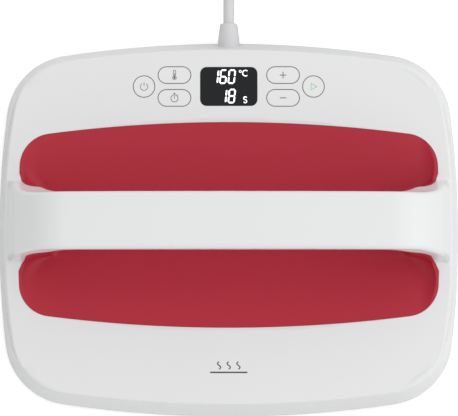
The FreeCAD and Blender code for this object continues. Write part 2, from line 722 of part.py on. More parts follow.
# ---------------------------------------------------------------- base
def base_shell():
    """The rim round the plate; its inner flange carries the plate, the heat shield and the top shell."""
    body = plate("base_shell", "base_bottom", "base_top - base_bottom", body_outline, "0")
    under, over = "flange_bottom - 1", "flange_top"
    through = f"{over} + 2 - ({under})"
    recess(body, "base_bottom", "flange_bottom - base_bottom", rounded_box,
           "0", "0", "plate_width + 2 * plate_gap", "plate_depth + 2 * plate_gap", "plate_corner + plate_gap")
    recess(body, under, through, rounded_box, "0", "0", "flange_width", "flange_depth", "flange_corner")
    recess(body, over, "2", body_outline, "rim_width")
    recess(body, under, through, circles, PLATE_SCREWS, "plate_hole")
    recess(body, under, through, circles, SHELL_SCREWS, "shell_hole")
    recess(body, under, "shell_seat - flange_bottom + 1", circles, SHELL_SCREWS, "3")
    recess(body, "flange_bottom + 1", "6", circles, SHIELD_SCREWS + CLAMP_SCREWS, "1.5")
    low, high = value("base_bottom"), value("base_top")
    soften(body, "base_edge", lambda e: flat_at(e, low, high) and on_outline(e))


def flat_at(edge, *heights):
    """Whether an edge lies level at one of the heights."""
    bounds = edge.BoundBox
    return bounds.ZLength < 0.01 and any(abs(bounds.ZMin - height) < 0.01 for height in heights)


def on_outline(edge):
    """Whether an edge is one of the arcs of the body outline, not of a recess inside it."""
    radii = [value(name) for name in ("end_radius", "side_radius", "corner_radius")]
    return edge.Curve.TypeId == "Part::GeomCircle" and any(abs(edge.Curve.Radius - r) < 0.01 for r in radii)


# ---------------------------------------------------------------- top shell
def body_skin():
    """The body's rounded outer form, and the shell left when its inside is taken out."""
    form = skirt_form("body_form", "0", "crown_top")
    top_edges = value("crown_top - 8")
    rounded = round_edges("body_rounded", form, "shoulder_radius", lambda e: e.BoundBox.ZMin > top_edges)
    return rounded, cut("body_skin", rounded, skirt_form("body_cavity", "wall", "crown_top - wall"))


def handle_bridge():
    """The handle: an arch across X with flared flanks and rounded upper edges, open below."""
    block = common(
        "handle_block",
        arch("handle_arch", "handle_half_width", "leg_foot", "handle_top", "handle_corner", "handle_crown",
             "4 * handle_half_depth"),
        flank_form("handle_flanks"),
    )
    half_depth = value("handle_half_depth")

    def upper_edge(edge):
        bounds = edge.BoundBox
        on_flank = abs(abs(bounds.Center.y) - half_depth) < 3 and bounds.XLength > 1
        return on_flank and bounds.ZMin > value("leg_foot + 0.5") and bounds.ZMax > value("crown_top")

    soft = round_edges("handle_rounded", block, "handle_edge", upper_edge)
    nearly_flat = "handle_crown * 1000"
    opening = arch("handle_opening", "tunnel_half_width", "leg_foot - 10", "tunnel_top", "tunnel_corner",
                   nearly_flat, "6 * handle_half_depth")
    return cut("handle_shell", soft, opening)


def screw_bosses(limit):
    """Bosses that reach up to the inside of the body's form."""
    stubs = [
        plate("shell_bosses", "flange_top + 0.1", "60", circles, SHELL_SCREWS, "shell_boss"),
        plate("board_bosses", "control_top + fit", "20", circles, BOARD_SCREWS, "board_boss"),
        plate("well_bosses", "well_boss_bottom", "20", circles, WELL_SCREWS, "well_boss"),
    ]
    for stub in stubs:
        stub.AllowCompound = True
    return common("bosses", fuse("boss_blanks", *stubs), limit)


def top_shell():
    """Body skin, handle and bosses in one, less the well, the room for the grip and every opening."""
    rounded, skin = body_skin()
    solid = fuse("shell_solid", skin, handle_bridge(), screw_bosses(rounded))
    room = arch("handle_room", "handle_half_width - wall", "leg_foot - 5", "handle_top - wall",
                "handle_corner - wall", "handle_crown - wall", "2 * grip_half_depth + 2 * clearance")
    below, tall = "skirt_bottom + 15", "40"
    well_prism = plate("well_prism", below, tall, well_outline, "0")
    well = cut("well_opening", well_prism, leg_block("leg_rooms", "0"))
    panel = plate("panel_openings", below, tall, window_outline, "window_gap")
    panel.AllowCompound = True
    for name in BUTTONS:
        slab(panel, below, tall, button_outline, name, "button_gap")
    cord_hole = cylinder("cord_hole", at(0, 110, "cord_height"), "boot_hole", "40", Y_AXIS)
    pilots = plate("pilot_holes", "flange_top - 0.5", "13.6", circles, SHELL_SCREWS, "pilot")
    pilots.AllowCompound = True
    slab(pilots, "control_top", "5.2", circles, BOARD_SCREWS, "board_pilot")
    slab(pilots, "well_boss_bottom - 0.4", "4.4", circles, WELL_SCREWS, "pilot")
    cut("top_shell", solid, well, room, panel, cord_hole, pilots)


def hand_well():
    """The red tray: a dished floor between the well's rim and the legs, hung from four arms under the top."""
    prism = plate("well_tray_prism", "skirt_bottom + 15", "40", well_outline, "clearance")
    tray = common("tray_block", prism, dish_form("dish_outer", "liner"), crown_ball)
    arms = new_body("tray_arms")
    arms.AllowCompound = True
    arm_bottom, arm_sheet, inner_share = "40", "2.2", "66 / 77"
    for x, y in WELL_SCREWS:
        slab(arms, arm_bottom, arm_sheet, rounded_box, x, f"({y}) * {inner_share}", "13", "36", "3")
    recess(arms, arm_bottom + " - 1", "5", circles, WELL_SCREWS, "shell_hole + fit")
    tray_solid = fuse("tray_solid", tray, arms)
    cut("hand_well", tray_solid, dish_form("dish", "0"), leg_block("leg_gaps", "clearance"))


def grip_path(body):
    """The opening's edge: up one leg, along the top and down the other."""
    path = body_sketch(body, "XZ_Plane")
    x, r, top = value("tunnel_half_width"), value("tunnel_corner"), value("tunnel_top")
    foot = value("leg_foot + 0.5")
    chain = [
        path.addGeometry(Part.LineSegment(Vector(x, foot, 0), Vector(x, top - r, 0)), False),
        arc(path, x - r, top - r, r, 0, math.pi / 2),
        path.addGeometry(Part.LineSegment(Vector(x - r, top, 0), Vector(r - x, top, 0)), False),
        arc(path, r - x, top - r, r, math.pi / 2, math.pi),
        path.addGeometry(Part.LineSegment(Vector(-x, top - r, 0), Vector(-x, foot, 0)), False),
    ]
    for here, there in zip(chain, chain[1:]):
        path.addConstraint(Sketcher.Constraint("Tangent", here, 2, there, 1))
    path.addConstraint(Sketcher.Constraint("Vertical", chain[0]))
    path.addConstraint(Sketcher.Constraint("Vertical", chain[4]))
    path.addConstraint(Sketcher.Constraint("Equal", chain[1], chain[3]))
    path.addConstraint(Sketcher.Constraint("Horizontal", chain[2]))
    hold(path, "Radius", chain[1], size="tunnel_corner")
    pin(path, chain[0], 1, "tunnel_half_width", "leg_foot + 0.5")
    pin(path, chain[4], 2, "-tunnel_half_width", "leg_foot + 0.5")
    hold(path, "DistanceY", -1, 1, chain[2], 1, size="tunnel_top")
    return path


def grip_section(body):
    """A D shape: flat against the leg, bulging into the opening."""
    section = body_sketch(body, "XY_Plane", "leg_foot + 0.5")
    x = value("tunnel_half_width")
    half, bulge, back = value("grip_half_depth"), value("grip_bulge"), value("liner")
    r = (half**2 + bulge**2) / (2 * bulge)
    sweep = math.asin(half / r)
    lines = [
        section.addGeometry(Part.LineSegment(Vector(x, -half, 0), Vector(x + back, -half, 0)), False),
        section.addGeometry(Part.LineSegment(Vector(x + back, -half, 0), Vector(x + back, half, 0)), False),
        section.addGeometry(Part.LineSegment(Vector(x + back, half, 0), Vector(x, half, 0)), False),
        arc(section, x - bulge + r, 0, r, math.pi - sweep, math.pi + sweep),
    ]
    for here, there in zip(lines, lines[1:] + lines[:1]):
        section.addConstraint(Sketcher.Constraint("Coincident", here, 2, there, 1))
    pin(section, lines[0], 1, "tunnel_half_width", "-grip_half_depth")
    pin(section, lines[1], 1, "tunnel_half_width + liner", "-grip_half_depth")
    pin(section, lines[2], 1, "tunnel_half_width + liner", "grip_half_depth")
    pin(section, lines[3], 1, "tunnel_half_width", "grip_half_depth")
    squares = "pow(grip_half_depth; 2) + pow(grip_bulge; 2)"
    hold(section, "Radius", lines[3], size=f"({squares}) / (2 * grip_bulge)")
    return section


def handle_grip():
    """The red underside of the handle: a D-shaped section swept along the opening's edge."""
    body = new_body("handle_grip")
    path, section = grip_path(body), grip_section(body)
    doc.recompute()
    pipe = body.newObject("PartDesign::AdditivePipe", "grip_pipe")
    pipe.Profile = section
    pipe.Spine = path


# ---------------------------------------------------------------- control panel
def cap(name):
    """A button: its face follows the crowned top, its lip keeps it in and its stem rests on the switch."""
    blank = plate(name + "_blank", "lip_bottom", "lip_top - lip_bottom", button_outline, name, "lip")
    slab(blank, "lip_bottom", "crown_top - lip_bottom + 3", button_outline, name, "0")
    x, y = BUTTONS[name]
    stem_radius = "2.6"
    slab(blank, "plunger_top + 0.02", "lip_bottom - plunger_top", circle, x, y, stem_radius)
    common(name, blank, crown_ball)


def display():
    """The window, and below it the display panel in its frame on the control board."""
    blank = plate("window_blank", "lip_bottom", "lip_top - lip_bottom", window_outline, "lip")
    slab(blank, "lip_bottom", "crown_top - lip_bottom + 3", window_outline, "0")
    common("display_window", blank, crown_ball)
    frame = rounded_slab("lcd_frame", "control_top + fit", "5", "44", "31", "2", y="panel_y")
    recess(frame, "control_top - 1", "8", rounded_box, "0", "panel_y", "38.8", "26", "1")
    rounded_slab("lcd_panel", "control_top + 1.6", "3.2", "38.4", "25.6", "0.8", y="panel_y")


def switches():
    """Six tactile switches on the control board, with a plunger standing out of each."""
    bodies = new_body("switch_bodies")
    bodies.AllowCompound = True
    for x, y in BUTTONS.values():
        slab(bodies, "control_top + fit", "switch_top - control_top - fit", rounded_box,
             x, y, "switch_size", "switch_size", "0.6")
    recess(bodies, "control_top + 1.2", "5", circles, list(BUTTONS.values()), "plunger_radius + 0.1")
    for name, (x, y) in BUTTONS.items():
        label = name.replace("_button", "_plunger")
        bottom = "control_top + 2"
        plate(label, bottom, f"plunger_top - ({bottom})", circle, x, y, "plunger_radius")


def control_board():
    """The board behind the buttons, with its screws from below, the buzzer, the processor and two lights."""
    bottom = "control_top - board"
    body = rounded_slab("control_board", bottom, "board", "control_width", "control_depth", "3", y="panel_y")
    recess(body, f"{bottom} - 1", "5", circles, BOARD_SCREWS, "1.6")
    seat, head = f"{bottom} - 0.02", ("2.6", "1.6")
    screws("control_board_screws", BOARD_SCREWS, seat, head, "1.25", "6.4", down=False)
    under = f"{bottom} - fit"
    cylinder("buzzer", at(55, 92, f"{under} - 4.5"), "4.5", "4.5")
    box("microcontroller", at(-30, 100, f"{under} - 1.4"), "10", "10", "1.4")
    lights = [
        box(f"led_{side}", at(x, "panel_y - 5.6", "control_top + fit"), "3", "1.5", "1.2")
        for side, x in (("left", "-round_x"), ("right", "round_x"))
    ]
    group("indicator_leds", lights)


# ---------------------------------------------------------------- power electronics
def power_board():
    """The board that switches the heater, on spacers over the heat shield, with its large components."""
    size = "power_width", "power_depth"
    body = rounded_slab("power_board", "power_bottom", "board", *size, "2", y="power_y")
    recess(body, "power_bottom - 1", "5", circles, POWER_SCREWS, "1.65")
    spacer = "power_bottom - shield_top - 2 * fit"
    rings("board_spacers", POWER_SCREWS, "shield_top + fit", spacer, "3", "shell_hole")
    screws("power_board_screws", POWER_SCREWS, "power_bottom + board + 0.02", ("2.8", "1.9"), "1.5", "5.6")
    top = "power_bottom + board + fit"
    box("relay", at(-34, "power_y - 8", top), "19", "15.5", "14.5")
    box("transformer_core", at(34, "power_y - 6", top), "24", "20", "13")
    box("transformer_coil", at(34, "power_y - 6", f"{top} + 2"), "17", "24", "9")
    fuse("transformer", doc.transformer_core, doc.transformer_coil)
    cans = [cylinder(f"can_{i}", at(x, "power_y - 10", top), "4.5", "12") for i, x in enumerate((-8, 4))]
    group("capacitors", cans)
    fin_y, fin_pitch, fin_count, fin_first = "power_y + 8", 4, 4, -48
    fins = [
        box(f"fin_{i}", at(fin_first + fin_pitch * i, fin_y, f"{top} + 2"), "1.2", "12", "11")
        for i in range(fin_count)
    ]
    base_x = fin_first + fin_pitch * (fin_count - 1) / 2
    base = box("fin_base", at(base_x, fin_y, top), "14.4", "12", "2.2")
    fuse("heat_sink", base, *fins)
    block = box("terminal_blank", at(0, "power_y + 17", top), "40", "9", "9")
    holes = [
        cylinder(f"inlet_{i}", at(x, "power_y + 12", f"{top} + 3.4"), "1.5", "20", Y_AXIS)
        for i, x in enumerate((-15, -5, 5, 15))
    ]
    cut("terminal_block", block, *holes)


def heat_shield():
    """A pressed sheet tray over the plate, and the insulation pad inside it."""
    low = "flange_top + fit"
    flanged = "shield_width + 2 * shield_tab"
    body = rounded_slab("heat_shield", low, "shield_sheet", flanged, "shield_depth", "shield_corner + 2")
    raised = ("0", "0", "shield_width", "shield_depth", "shield_corner")
    slab(body, low, f"shield_top - ({low})", rounded_box, *raised)
    inner = [f"shield_{size} - 2 * shield_sheet" for size in ("width", "depth")]
    recess(body, "flange_top - 1", "shield_top - flange_top - shield_sheet + 1", rounded_box,
           "0", "0", *inner, "shield_corner - shield_sheet")
    recess(body, "flange_top", "12", circles, [("120", "107"), ("-120", "107"), SENSOR_PASS], "4")
    recess(body, "flange_top", "3", circles, SHIELD_SCREWS, "shell_hole + fit")
    recess(body, "shield_top - 2", "5", circles, POWER_SCREWS, "pilot")
    screws("shield_screws", SHIELD_SCREWS, f"{low} + shield_sheet + 0.02", ("2.8", "1.8"), "1.45", "2.8")

    pad_size = "pad_width", "pad_depth"
    wool = rounded_slab("insulation_pad", "flange_top + 0.4", "pad_height", *pad_size, "32", y="-5")
    recess(wool, "flange_top", "pad_height + 2", circles, [SENSOR_PASS], "5")


# ---------------------------------------------------------------- wiring
def wire(label, points, radius):
    """A round wire along straight runs with round corners."""
    spine = doc.addObject("Part::Polygon", label + "_path")
    spine.Nodes = [Vector(*(value(e) for e in point)) for point in points]
    ring = doc.addObject("Part::Circle", label + "_section")
    bind(ring, "Radius", radius)
    start, heading = spine.Nodes[0], spine.Nodes[1] - spine.Nodes[0]
    ring.Placement = Placement(start, Rotation(Vector(0, 0, 1), heading))
    sweep = doc.addObject("Part::Sweep", label)
    sweep.Label = label
    sweep.Sections = [ring]
    sweep.Spine = (spine, [])
    sweep.Solid = True
    sweep.Frenet = False
    sweep.Transition = "Round corner"
    return sweep


def wiring():
    """Wires from the cord to the power board, the heater and its sensor, and the ribbon between boards."""
    low, inlet = "power_bottom - 1.5", "power_bottom + board + fit + 3.4"
    block_y = "power_y + 17"
    heater = []
    for side, sign in (("left", "-"), ("right", "")):
        heater.append(wire(f"heater_lead_{side}", [
            (f"{sign}120", "107.2", "tube_height + 1.8"), (f"{sign}120", "107.2", low),
            (f"{sign}60", "40", low), (f"{sign}15", "-30", low),
            (f"{sign}15", "-52", inlet), (f"{sign}15", block_y, inlet),
        ], "wire_radius"))
    group("heater_leads", heater)
    mains = []
    for side, sign in (("left", "-"), ("right", "")):
        mains.append(wire(f"mains_lead_{side}", [
            (f"{sign}1.6", "111.9", "cord_height - 1"), (f"{sign}2", "100", low), (f"{sign}5", "80", low),
            (f"{sign}5", "-40", low), (f"{sign}5", "-52", inlet), (f"{sign}5", block_y, inlet),
        ], "wire_radius"))
    group("mains_leads", mains)
    wire("earth_lead", [
        ("0", "111.9", "cord_height + 1.9"), ("0", "104", "cord_height + 1.9"), ("28", "88", low),
        ("28", "84", "shield_top + 2"), ("28", "80", "shield_top + wire_radius + 0.1"),
    ], "wire_radius")
    sensor = []
    for i, (x, sign) in enumerate((("-12", "-"), ("12", ""))):
        sensor.append(wire(f"sensor_lead_{i}", [
            (x, "-37.1", "plate_thickness + 2"), (x, "-40", "plate_thickness + 2"),
            (f"{sign}1.6", "-48", "plate_thickness + 2.6"), (f"{sign}1.6", "-48", low),
            (f"{sign}1.6", "power_y + 23.2", "power_bottom + 0.8"),
        ], "sensor_wire"))
    group("sensor_leads", sensor)
    ribbon = new_body("ribbon_cable")
    sketch = body_sketch(ribbon, "YZ_Plane", "32")
    top, run, end = "control_top - board - fit", "power_bottom + 4", "power_y + 19"
    polygon(sketch, [
        ("88", top), ("87", top), ("87", f"{run} + 1"), (f"{end} - 1", f"{run} + 1"),
        (f"{end} - 1", "power_bottom + board + fit"), (end, "power_bottom + board + fit"),
        (end, run), ("88", run),
    ])
    pad(ribbon, sketch, "12", midplane=True)


# ---------------------------------------------------------------- power cord and plug
def cord_path():
    """Points of the cord's centre line: out of the body, down to the ground, round the coil, to the plug."""
    height, low = value("cord_height"), value("cord_radius")
    radius, cx, cy, pitch = (value(a) for a in ("coil_radius", "coil_x", "coil_y", "coil_pitch"))
    points = [Vector(0, y, height) for y in (112, 122, 134, 146, 153)]
    drop_start, ground_y, steps = 160, cy - 24, 6
    for i in range(steps + 1):
        part = i / steps
        y = drop_start + (ground_y - drop_start) * part
        points.append(Vector(0, y, low + (height - low) * (1 + math.cos(math.pi * part)) / 2))
    turns, per_turn = 3.25, 16
    for i in range(int(turns * per_turn) + 1):
        turn = i / per_turn
        angle = math.pi - 2 * math.pi * turn
        x, y = cx + radius * math.cos(angle), cy + radius * math.sin(angle)
        points.append(Vector(x, y, low + pitch * turn))
    end = points[-1]
    # the tail eases down to the height of the plug's axis
    plug_z = value("plug_radius")
    run, straight = 60, 8
    for part in (0.3, 0.6, 0.85):
        z = plug_z + (end.z - plug_z) * (1 + math.cos(math.pi * part)) / 2
        points.append(Vector(end.x + run * part, end.y, z))
    points.append(Vector(end.x + run, end.y, plug_z))
    points.append(Vector(end.x + run + straight, end.y, plug_z))
    return points


def power_cord():
    """The cord as one smooth sweep; gives the point where it ends in the plug."""
    points = cord_path()
    curve = Part.BSplineCurve()
    curve.interpolate(points, InitialTangent=Y_AXIS * 10, FinalTangent=X_AXIS * 10)
    spine = doc.addObject("Part::Feature", "cord_centre_line")
    spine.Shape = curve.toShape()
    ring = doc.addObject("Part::Circle", "cord_section")
    bind(ring, "Radius", "cord_radius")
    ring.Placement = Placement(points[0], Rotation(Vector(0, 0, 1), Y_AXIS))
    sweep = doc.addObject("Part::Sweep", "power_cord")
    sweep.Label = "power_cord"
    sweep.Sections = [ring]
    sweep.Spine = (spine, ["Edge1"])
    sweep.Solid = True
    sweep.Frenet = False
    return points[-1]


def turned(label, profile, bore):
    """A body of revolution about the Y axis of its own frame, from pairs of (radius, y), with a bore."""
    body = new_body(label)
    sketch = body_sketch(body, "XY_Plane")
    outline = [(bore, profile[0][1]), *profile, (bore, profile[-1][1])]
    polygon(sketch, [(str(r), str(y)) for r, y in outline])
    turn = body.newObject("PartDesign::Revolution", label + "_turn")
    turn.Profile = sketch
    turn.ReferenceAxis = (sketch, ["V_Axis"])
    turn.Angle = 360
    return body


def cord_fittings():
    """The boot in the back wall, and the clamp inside that takes the cord's pull."""
    boot = turned("cord_boot", [
        ("10.4", 125), ("10.4", 128.2), ("8.1", 128.2), ("8.1", 136.5), ("7.4", 143), ("6.9", 147),
        ("6.5", 150.4), ("6.1", 151), ("5.4", 151.2),
    ], "cord_radius + fit")
    put(boot, at(0, 0, "cord_height"))
    clamp = rounded_slab("clamp_blank", "flange_top + fit", "18.4", "25", "8", "1", y="120")
    recess(clamp, "flange_top - 1", "25", circles, CLAMP_SCREWS, "1.6")
    bore = cylinder("clamp_bore", at(0, 110, "cord_height"), "cord_radius + fit", "20", Y_AXIS)
    cut("cord_clamp", clamp, bore)
    screws("clamp_screws", CLAMP_SCREWS, "flange_top + fit + 18.42", ("2.8", "1.8"), "1.45", "20.4")


def plug_pin(name, root, y, z):
    """One pin along +X from x = root: a narrow shank inside the plug, then a contact with a bevelled tip."""
    face, tip = "pin_shank_length", "pin_shank_length + pin_length"
    body = turned(f"pin_{name}", [
        ("pin_shank", 0), ("pin_shank", face), ("pin_radius", face),
        ("pin_radius", f"{tip} - pin_chamfer"), ("pin_radius - pin_chamfer", tip),
    ], "0")
    body.Placement = Placement(Vector(), Rotation(Y_AXIS, X_AXIS))
    put(body, at(root, y, z))
    return body


def plug(end):
    """A round plug with two pins and side earth contacts, lying on the ground behind the press."""
    overlap, length = 8, 51
    start, plug_front = end.x - overlap, end.x - overlap + length
    body = turned("plug_blank", [
        ("6", 0), ("6.4", 12), ("8", 16), ("13", 22), ("17.6", 27), ("plug_radius", 32), ("plug_radius", 50),
        ("plug_radius - 0.8", length),
    ], "cord_radius + fit")
    body.Placement = Placement(Vector(start, end.y, end.z), Rotation(Y_AXIS, X_AXIS))
    core = cylinder("plug_core", at(end.x + 0.1, end.y, end.z), "6", f"{plug_front - end.x - 0.1}", X_AXIS)
    root = f"{plug_front} - pin_shank_length"
    sockets, contacts = [], []
    for name, sign in (("near", "-"), ("far", "")):
        y = f"{end.y} {sign or '+'} pin_spacing / 2"
        deep = "pin_shank_length + 1"
        mouth = at(f"{root} - 1", y, end.z)
        sockets.append(cylinder(f"socket_{name}", mouth, "pin_shank + fit", deep, X_AXIS))
        contacts.append(plug_pin(name, root, y, end.z))
    slots, clips = [], []
    clip_x = plug_front - 7
    for name, sign in (("low", -1), ("high", 1)):
        middle = end.z + sign * (value("plug_radius") - 0.8)
        clip_bottom = middle - 0.7 - 0.3 * sign
        slots.append(box(f"slot_{name}", at(clip_x, end.y, middle - 1.2), "14.4", "5.2", "2.4"))
        clips.append(box(f"clip_{name}", at(clip_x, end.y, clip_bottom), "14", "5", "1"))
    cut("plug_body", fuse("plug_solid", body, core), *sockets, *slots)
    group("plug_pins", contacts)
    group("plug_earth_clips", clips)


# ---------------------------------------------------------------- assembly
heat_plate()
heater()
sensors()
spacer = "flange_bottom - plate_thickness - 2 * fit"
rings("plate_spacers", PLATE_SCREWS, "plate_thickness + fit", spacer, "4.5", "plate_hole")
screws("plate_screws", PLATE_SCREWS, "flange_top + fit", ("3.6", "2.4"), "2", "10.5")
base_shell()
top_shell()
screws("shell_screws", SHELL_SCREWS, "shell_seat - 0.02", ("2.8", "1.4"), "1.5", "13.5", down=False)
hand_well()
screws("well_screws", WELL_SCREWS, "39.98", ("2.7", "1.7"), "1.5", "5.8", down=False)
handle_grip()
for button in BUTTONS:
    cap(button)
display()
switches()
control_board()
heat_shield()
power_board()
wiring()
plug(power_cord())
cord_fittings()
doc.recompute()

NODES = [
    "heat_plate", "heating_element", "heater_insulators", "heater_terminals", "temperature_sensor",
    "thermal_cutout", "plate_spacers", "plate_screws", "base_shell", "top_shell", "shell_screws", "hand_well",
    "well_screws", "handle_grip", *BUTTONS, "display_window", "lcd_frame", "lcd_panel", "switch_bodies",
    *(name.replace("_button", "_plunger") for name in BUTTONS), "control_board", "control_board_screws",
    "buzzer", "microcontroller", "indicator_leds", "power_board", "board_spacers", "power_board_screws",
    "relay", "transformer", "capacitors", "heat_sink", "terminal_block", "heat_shield", "shield_screws",
    "insulation_pad", "heater_leads", "mains_leads", "earth_lead", "sensor_leads", "ribbon_cable",
    "power_cord", "cord_boot", "cord_clamp", "clamp_screws", "plug_body", "plug_pins", "plug_earth_clips",
]

# nothing is written unless every object computed, every cut removed material and every shape is sound
problems = [f"{o.Name} failed" for o in doc.Objects if "Invalid" in o.State or "Error" in o.State]
for feature in CUTS:
    before = feature.BaseFeature if hasattr(feature, "BaseFeature") else feature.Base
    if feature.Shape.isNull() or feature.Shape.Volume > before.Shape.Volume - 0.1:
        problems.append(f"{feature.Name} removes nothing")
shapes = {name: doc.getObjectsByLabel(name)[0].Shape for name in NODES}
for name, shape in shapes.items():
    if shape.isNull() or not shape.isValid():
        problems.append(f"{name} has no sound shape")
if problems:
    raise SystemExit("\n".join(problems))

os.makedirs("parts", exist_ok=True)
for name, shape in shapes.items():
    shape.exportStep(f"parts/{name}.step")
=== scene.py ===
"""Looks of the hand-held heat press, built round its CAD frame.

The CAD parts stay where they are. The white casing and the two red linings are rebuilt here as smooth
surfaces. The button rings, dark grey as painted shade for the gaps round the buttons, the symbols and the
display's figures are added, and every part gets a procedural material.
"""

import json
import math

import bmesh
import bpy
import numpy as np
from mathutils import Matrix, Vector


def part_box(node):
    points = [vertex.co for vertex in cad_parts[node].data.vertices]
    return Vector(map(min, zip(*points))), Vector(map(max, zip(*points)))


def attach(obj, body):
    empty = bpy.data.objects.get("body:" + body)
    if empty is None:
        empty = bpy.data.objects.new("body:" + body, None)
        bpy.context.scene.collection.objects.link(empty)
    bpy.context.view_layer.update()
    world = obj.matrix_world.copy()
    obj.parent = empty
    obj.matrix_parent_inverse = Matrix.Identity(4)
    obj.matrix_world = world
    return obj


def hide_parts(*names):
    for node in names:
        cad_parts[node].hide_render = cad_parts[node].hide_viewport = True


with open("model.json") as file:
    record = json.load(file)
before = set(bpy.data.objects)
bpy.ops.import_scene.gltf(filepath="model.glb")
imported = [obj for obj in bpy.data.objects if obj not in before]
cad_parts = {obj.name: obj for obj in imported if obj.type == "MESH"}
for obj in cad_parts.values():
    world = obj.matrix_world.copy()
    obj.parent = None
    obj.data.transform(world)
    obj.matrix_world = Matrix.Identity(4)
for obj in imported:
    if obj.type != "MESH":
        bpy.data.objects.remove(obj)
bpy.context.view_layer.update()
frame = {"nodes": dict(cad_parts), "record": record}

MM = 0.001
ROOT = "press"


def low_high(node):
    """A CAD node's box in millimetres."""
    low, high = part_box(node)
    return low / MM, high / MM


# ---------------------------------------------------------------- sizes in millimetres
_, base_high = low_high("base_shell")
_, shell_high = low_high("top_shell")
window_low, window_high = low_high("display_window")

BODY_HALF_X, BODY_HALF_Y = base_high.x, base_high.y
END_RADIUS, SIDE_RADIUS, CORNER_RADIUS = 820.0, 700.0, 50.0
SKIRT_FOOT = 15.6
SKIRT_INSET = 0.8
DRAFT, SIDE_DRAFT = math.tan(math.radians(14)), math.tan(math.radians(7))
SKIRT_TOP, SIDE_TOP_INSET = 48.0, 7.0
LEDGE_DROP, LEDGE_WIDTH = 26.0, 1.5
LEDGE_START = 1.0  # the ledge's depth below the skirt's top away from the sides
LEDGE_FADE = 3
SIDE_END, SIDE_FULL = 114, 40  # where along Y the sides' own form ends, and where it is complete
WALL_SLANT = 0.97  # roughly turns a level distance into one square to the leaning wall
CROWN_TOP, CROWN_RADIUS = 52.0, 3000.0
SHOULDER = 1.2
WALL = 2.6
HOLLOW_TOP = 40.0

HANDLE_TOP = shell_high.z
HANDLE_CROWN = 1500.0
HANDLE_CORNER = 45.0
HANDLE_LEAN = math.radians(9.5)
HANDLE_SIDE = (152.4, 88.0)
HANDLE_HALF_DEPTH = 20.4
HANDLE_CENTRE = 0.25
FLARE_TOP, FLARE, FLARE_EASE = 101.0, 0.19, 4
FOOT_TOP, FOOT, FOOT_EASE = 74.0, 0.14, 2
LEG_SHIFT, LEG_SHIFT_TOP, LEG_SHIFT_SPAN = 3.0, 95.0, 45.0
HANDLE_EDGE = 3.2
BLEND, OUTER_BLEND = 5.0, 2.0
BLEND_END, BLEND_SPAN = 159.0, 14.0

WELL_HALF, WELL_NECK, WELL_THROAT = 154.6, 135.0, 127.0
WELL_START, WELL_END = 45.6, 24.1
WELL_SHIFT = 2.65
WELL_FLOOR, FLOOR_RISE = 38.9, 0.002176
FLOOR_DIP = 1.2
WELL_ROOF, ROOF_RISE = 95.0, 0.0156
FLOOR_CORNER, LEG_CORNER, ROOF_CORNER = 16.0, 5.0, 30.0
LINER, LEG_LIP = 2.5, 0.8
SEAM = 0.2
LINER_SPLIT, SPLIT_GAP = 64.0, 0.05
BLOCK_DEPTH = 6  # the casing's block reaches this far below the skirt's foot before it is trimmed
BEYOND = 200.0  # larger than the whole press, for tools that only cut one way


# ---------------------------------------------------------------- surface formulas
def smooth_step(t):
    """Eases from 0 to 1 as t does."""
    t = np.clip(t, 0.0, 1.0)
    return t * t * (3 - 2 * t)


def round_max(a, b, r):
    """Intersection of two distance fields whose edge is rounded with radius r."""
    u, v = np.maximum(a + r, 0), np.maximum(b + r, 0)
    return np.minimum(np.maximum(a, b), -r) + np.hypot(u, v)


def round_min(a, b, r):
    """Union of two distance fields whose inner corner is rounded with radius r."""
    return -round_max(-a, -b, r)


class Outline:
    """The body's plan outline: four shallow arcs joined by corner arcs, and every inset of it."""

    def __init__(self, half_x, half_y, side, end, corner):
        self.half_x, self.half_y, self.side, self.end, self.corner = half_x, half_y, side, end, corner
        self.side_x, self.end_y = half_x - side, half_y - end
        gap = math.hypot(self.side_x, self.end_y)
        along = ((side - corner) ** 2 - (end - corner) ** 2 + gap**2) / (2 * gap)
        across = math.sqrt((side - corner) ** 2 - along**2)
        ux, uy = -self.side_x / gap, self.end_y / gap
        self.cx = self.side_x + along * ux - across * uy
        self.cy = along * uy + across * ux
        self.side_turn = math.atan2(self.cy, self.cx - self.side_x)
        self.end_turn = math.atan2(self.cy - self.end_y, self.cx)

    def inset(self, x, y):
        """How far inside the outline a point is."""
        x, y = np.abs(x), np.abs(y)
        from_side = self.side - np.hypot(x - self.side_x, y)
        from_end = self.end - np.hypot(x, y - self.end_y)
        from_corner = self.corner - np.hypot(x - self.cx, y - self.cy)
        turn = np.arctan2(y - self.cy, x - self.cx)
        in_corner = (turn > self.side_turn) & (turn < self.end_turn)
        return np.where(in_corner, from_corner, np.minimum(from_side, from_end))

    def points(self, inset, step=3.0):
        """The outline moved inwards by inset, as an anticlockwise loop."""
        half_turn = math.pi
        side_turn, end_turn = self.side_turn, self.end_turn
        arcs = [
            (self.side_x, 0, self.side, -side_turn, side_turn),
            (self.cx, self.cy, self.corner, side_turn, end_turn),
            (0, self.end_y, self.end, end_turn, half_turn - end_turn),
            (-self.cx, self.cy, self.corner, half_turn - end_turn, half_turn - side_turn),
            (-self.side_x, 0, self.side, half_turn - side_turn, half_turn + side_turn),
            (-self.cx, -self.cy, self.corner, half_turn + side_turn, half_turn + end_turn),
            (0, -self.end_y, self.end, half_turn + end_turn, 2 * half_turn - end_turn),
            (self.cx, -self.cy, self.corner, 2 * half_turn - end_turn, 2 * half_turn - side_turn),
        ]
        loop = []
        for x, y, radius, start, end in arcs:
            count = max(2, round(radius * (end - start) / step))
            radius -= inset
            for i in range(count):
                a = start + (end - start) * i / count
                loop.append((x + radius * math.cos(a), y + radius * math.sin(a)))
        return loop


BODY = Outline(BODY_HALF_X, BODY_HALF_Y, SIDE_RADIUS, END_RADIUS, CORNER_RADIUS)
RIM = Outline(153.0, 74.7, 1200.0, 1033.0, 24.0)
RIM_SHIFT = 1.05


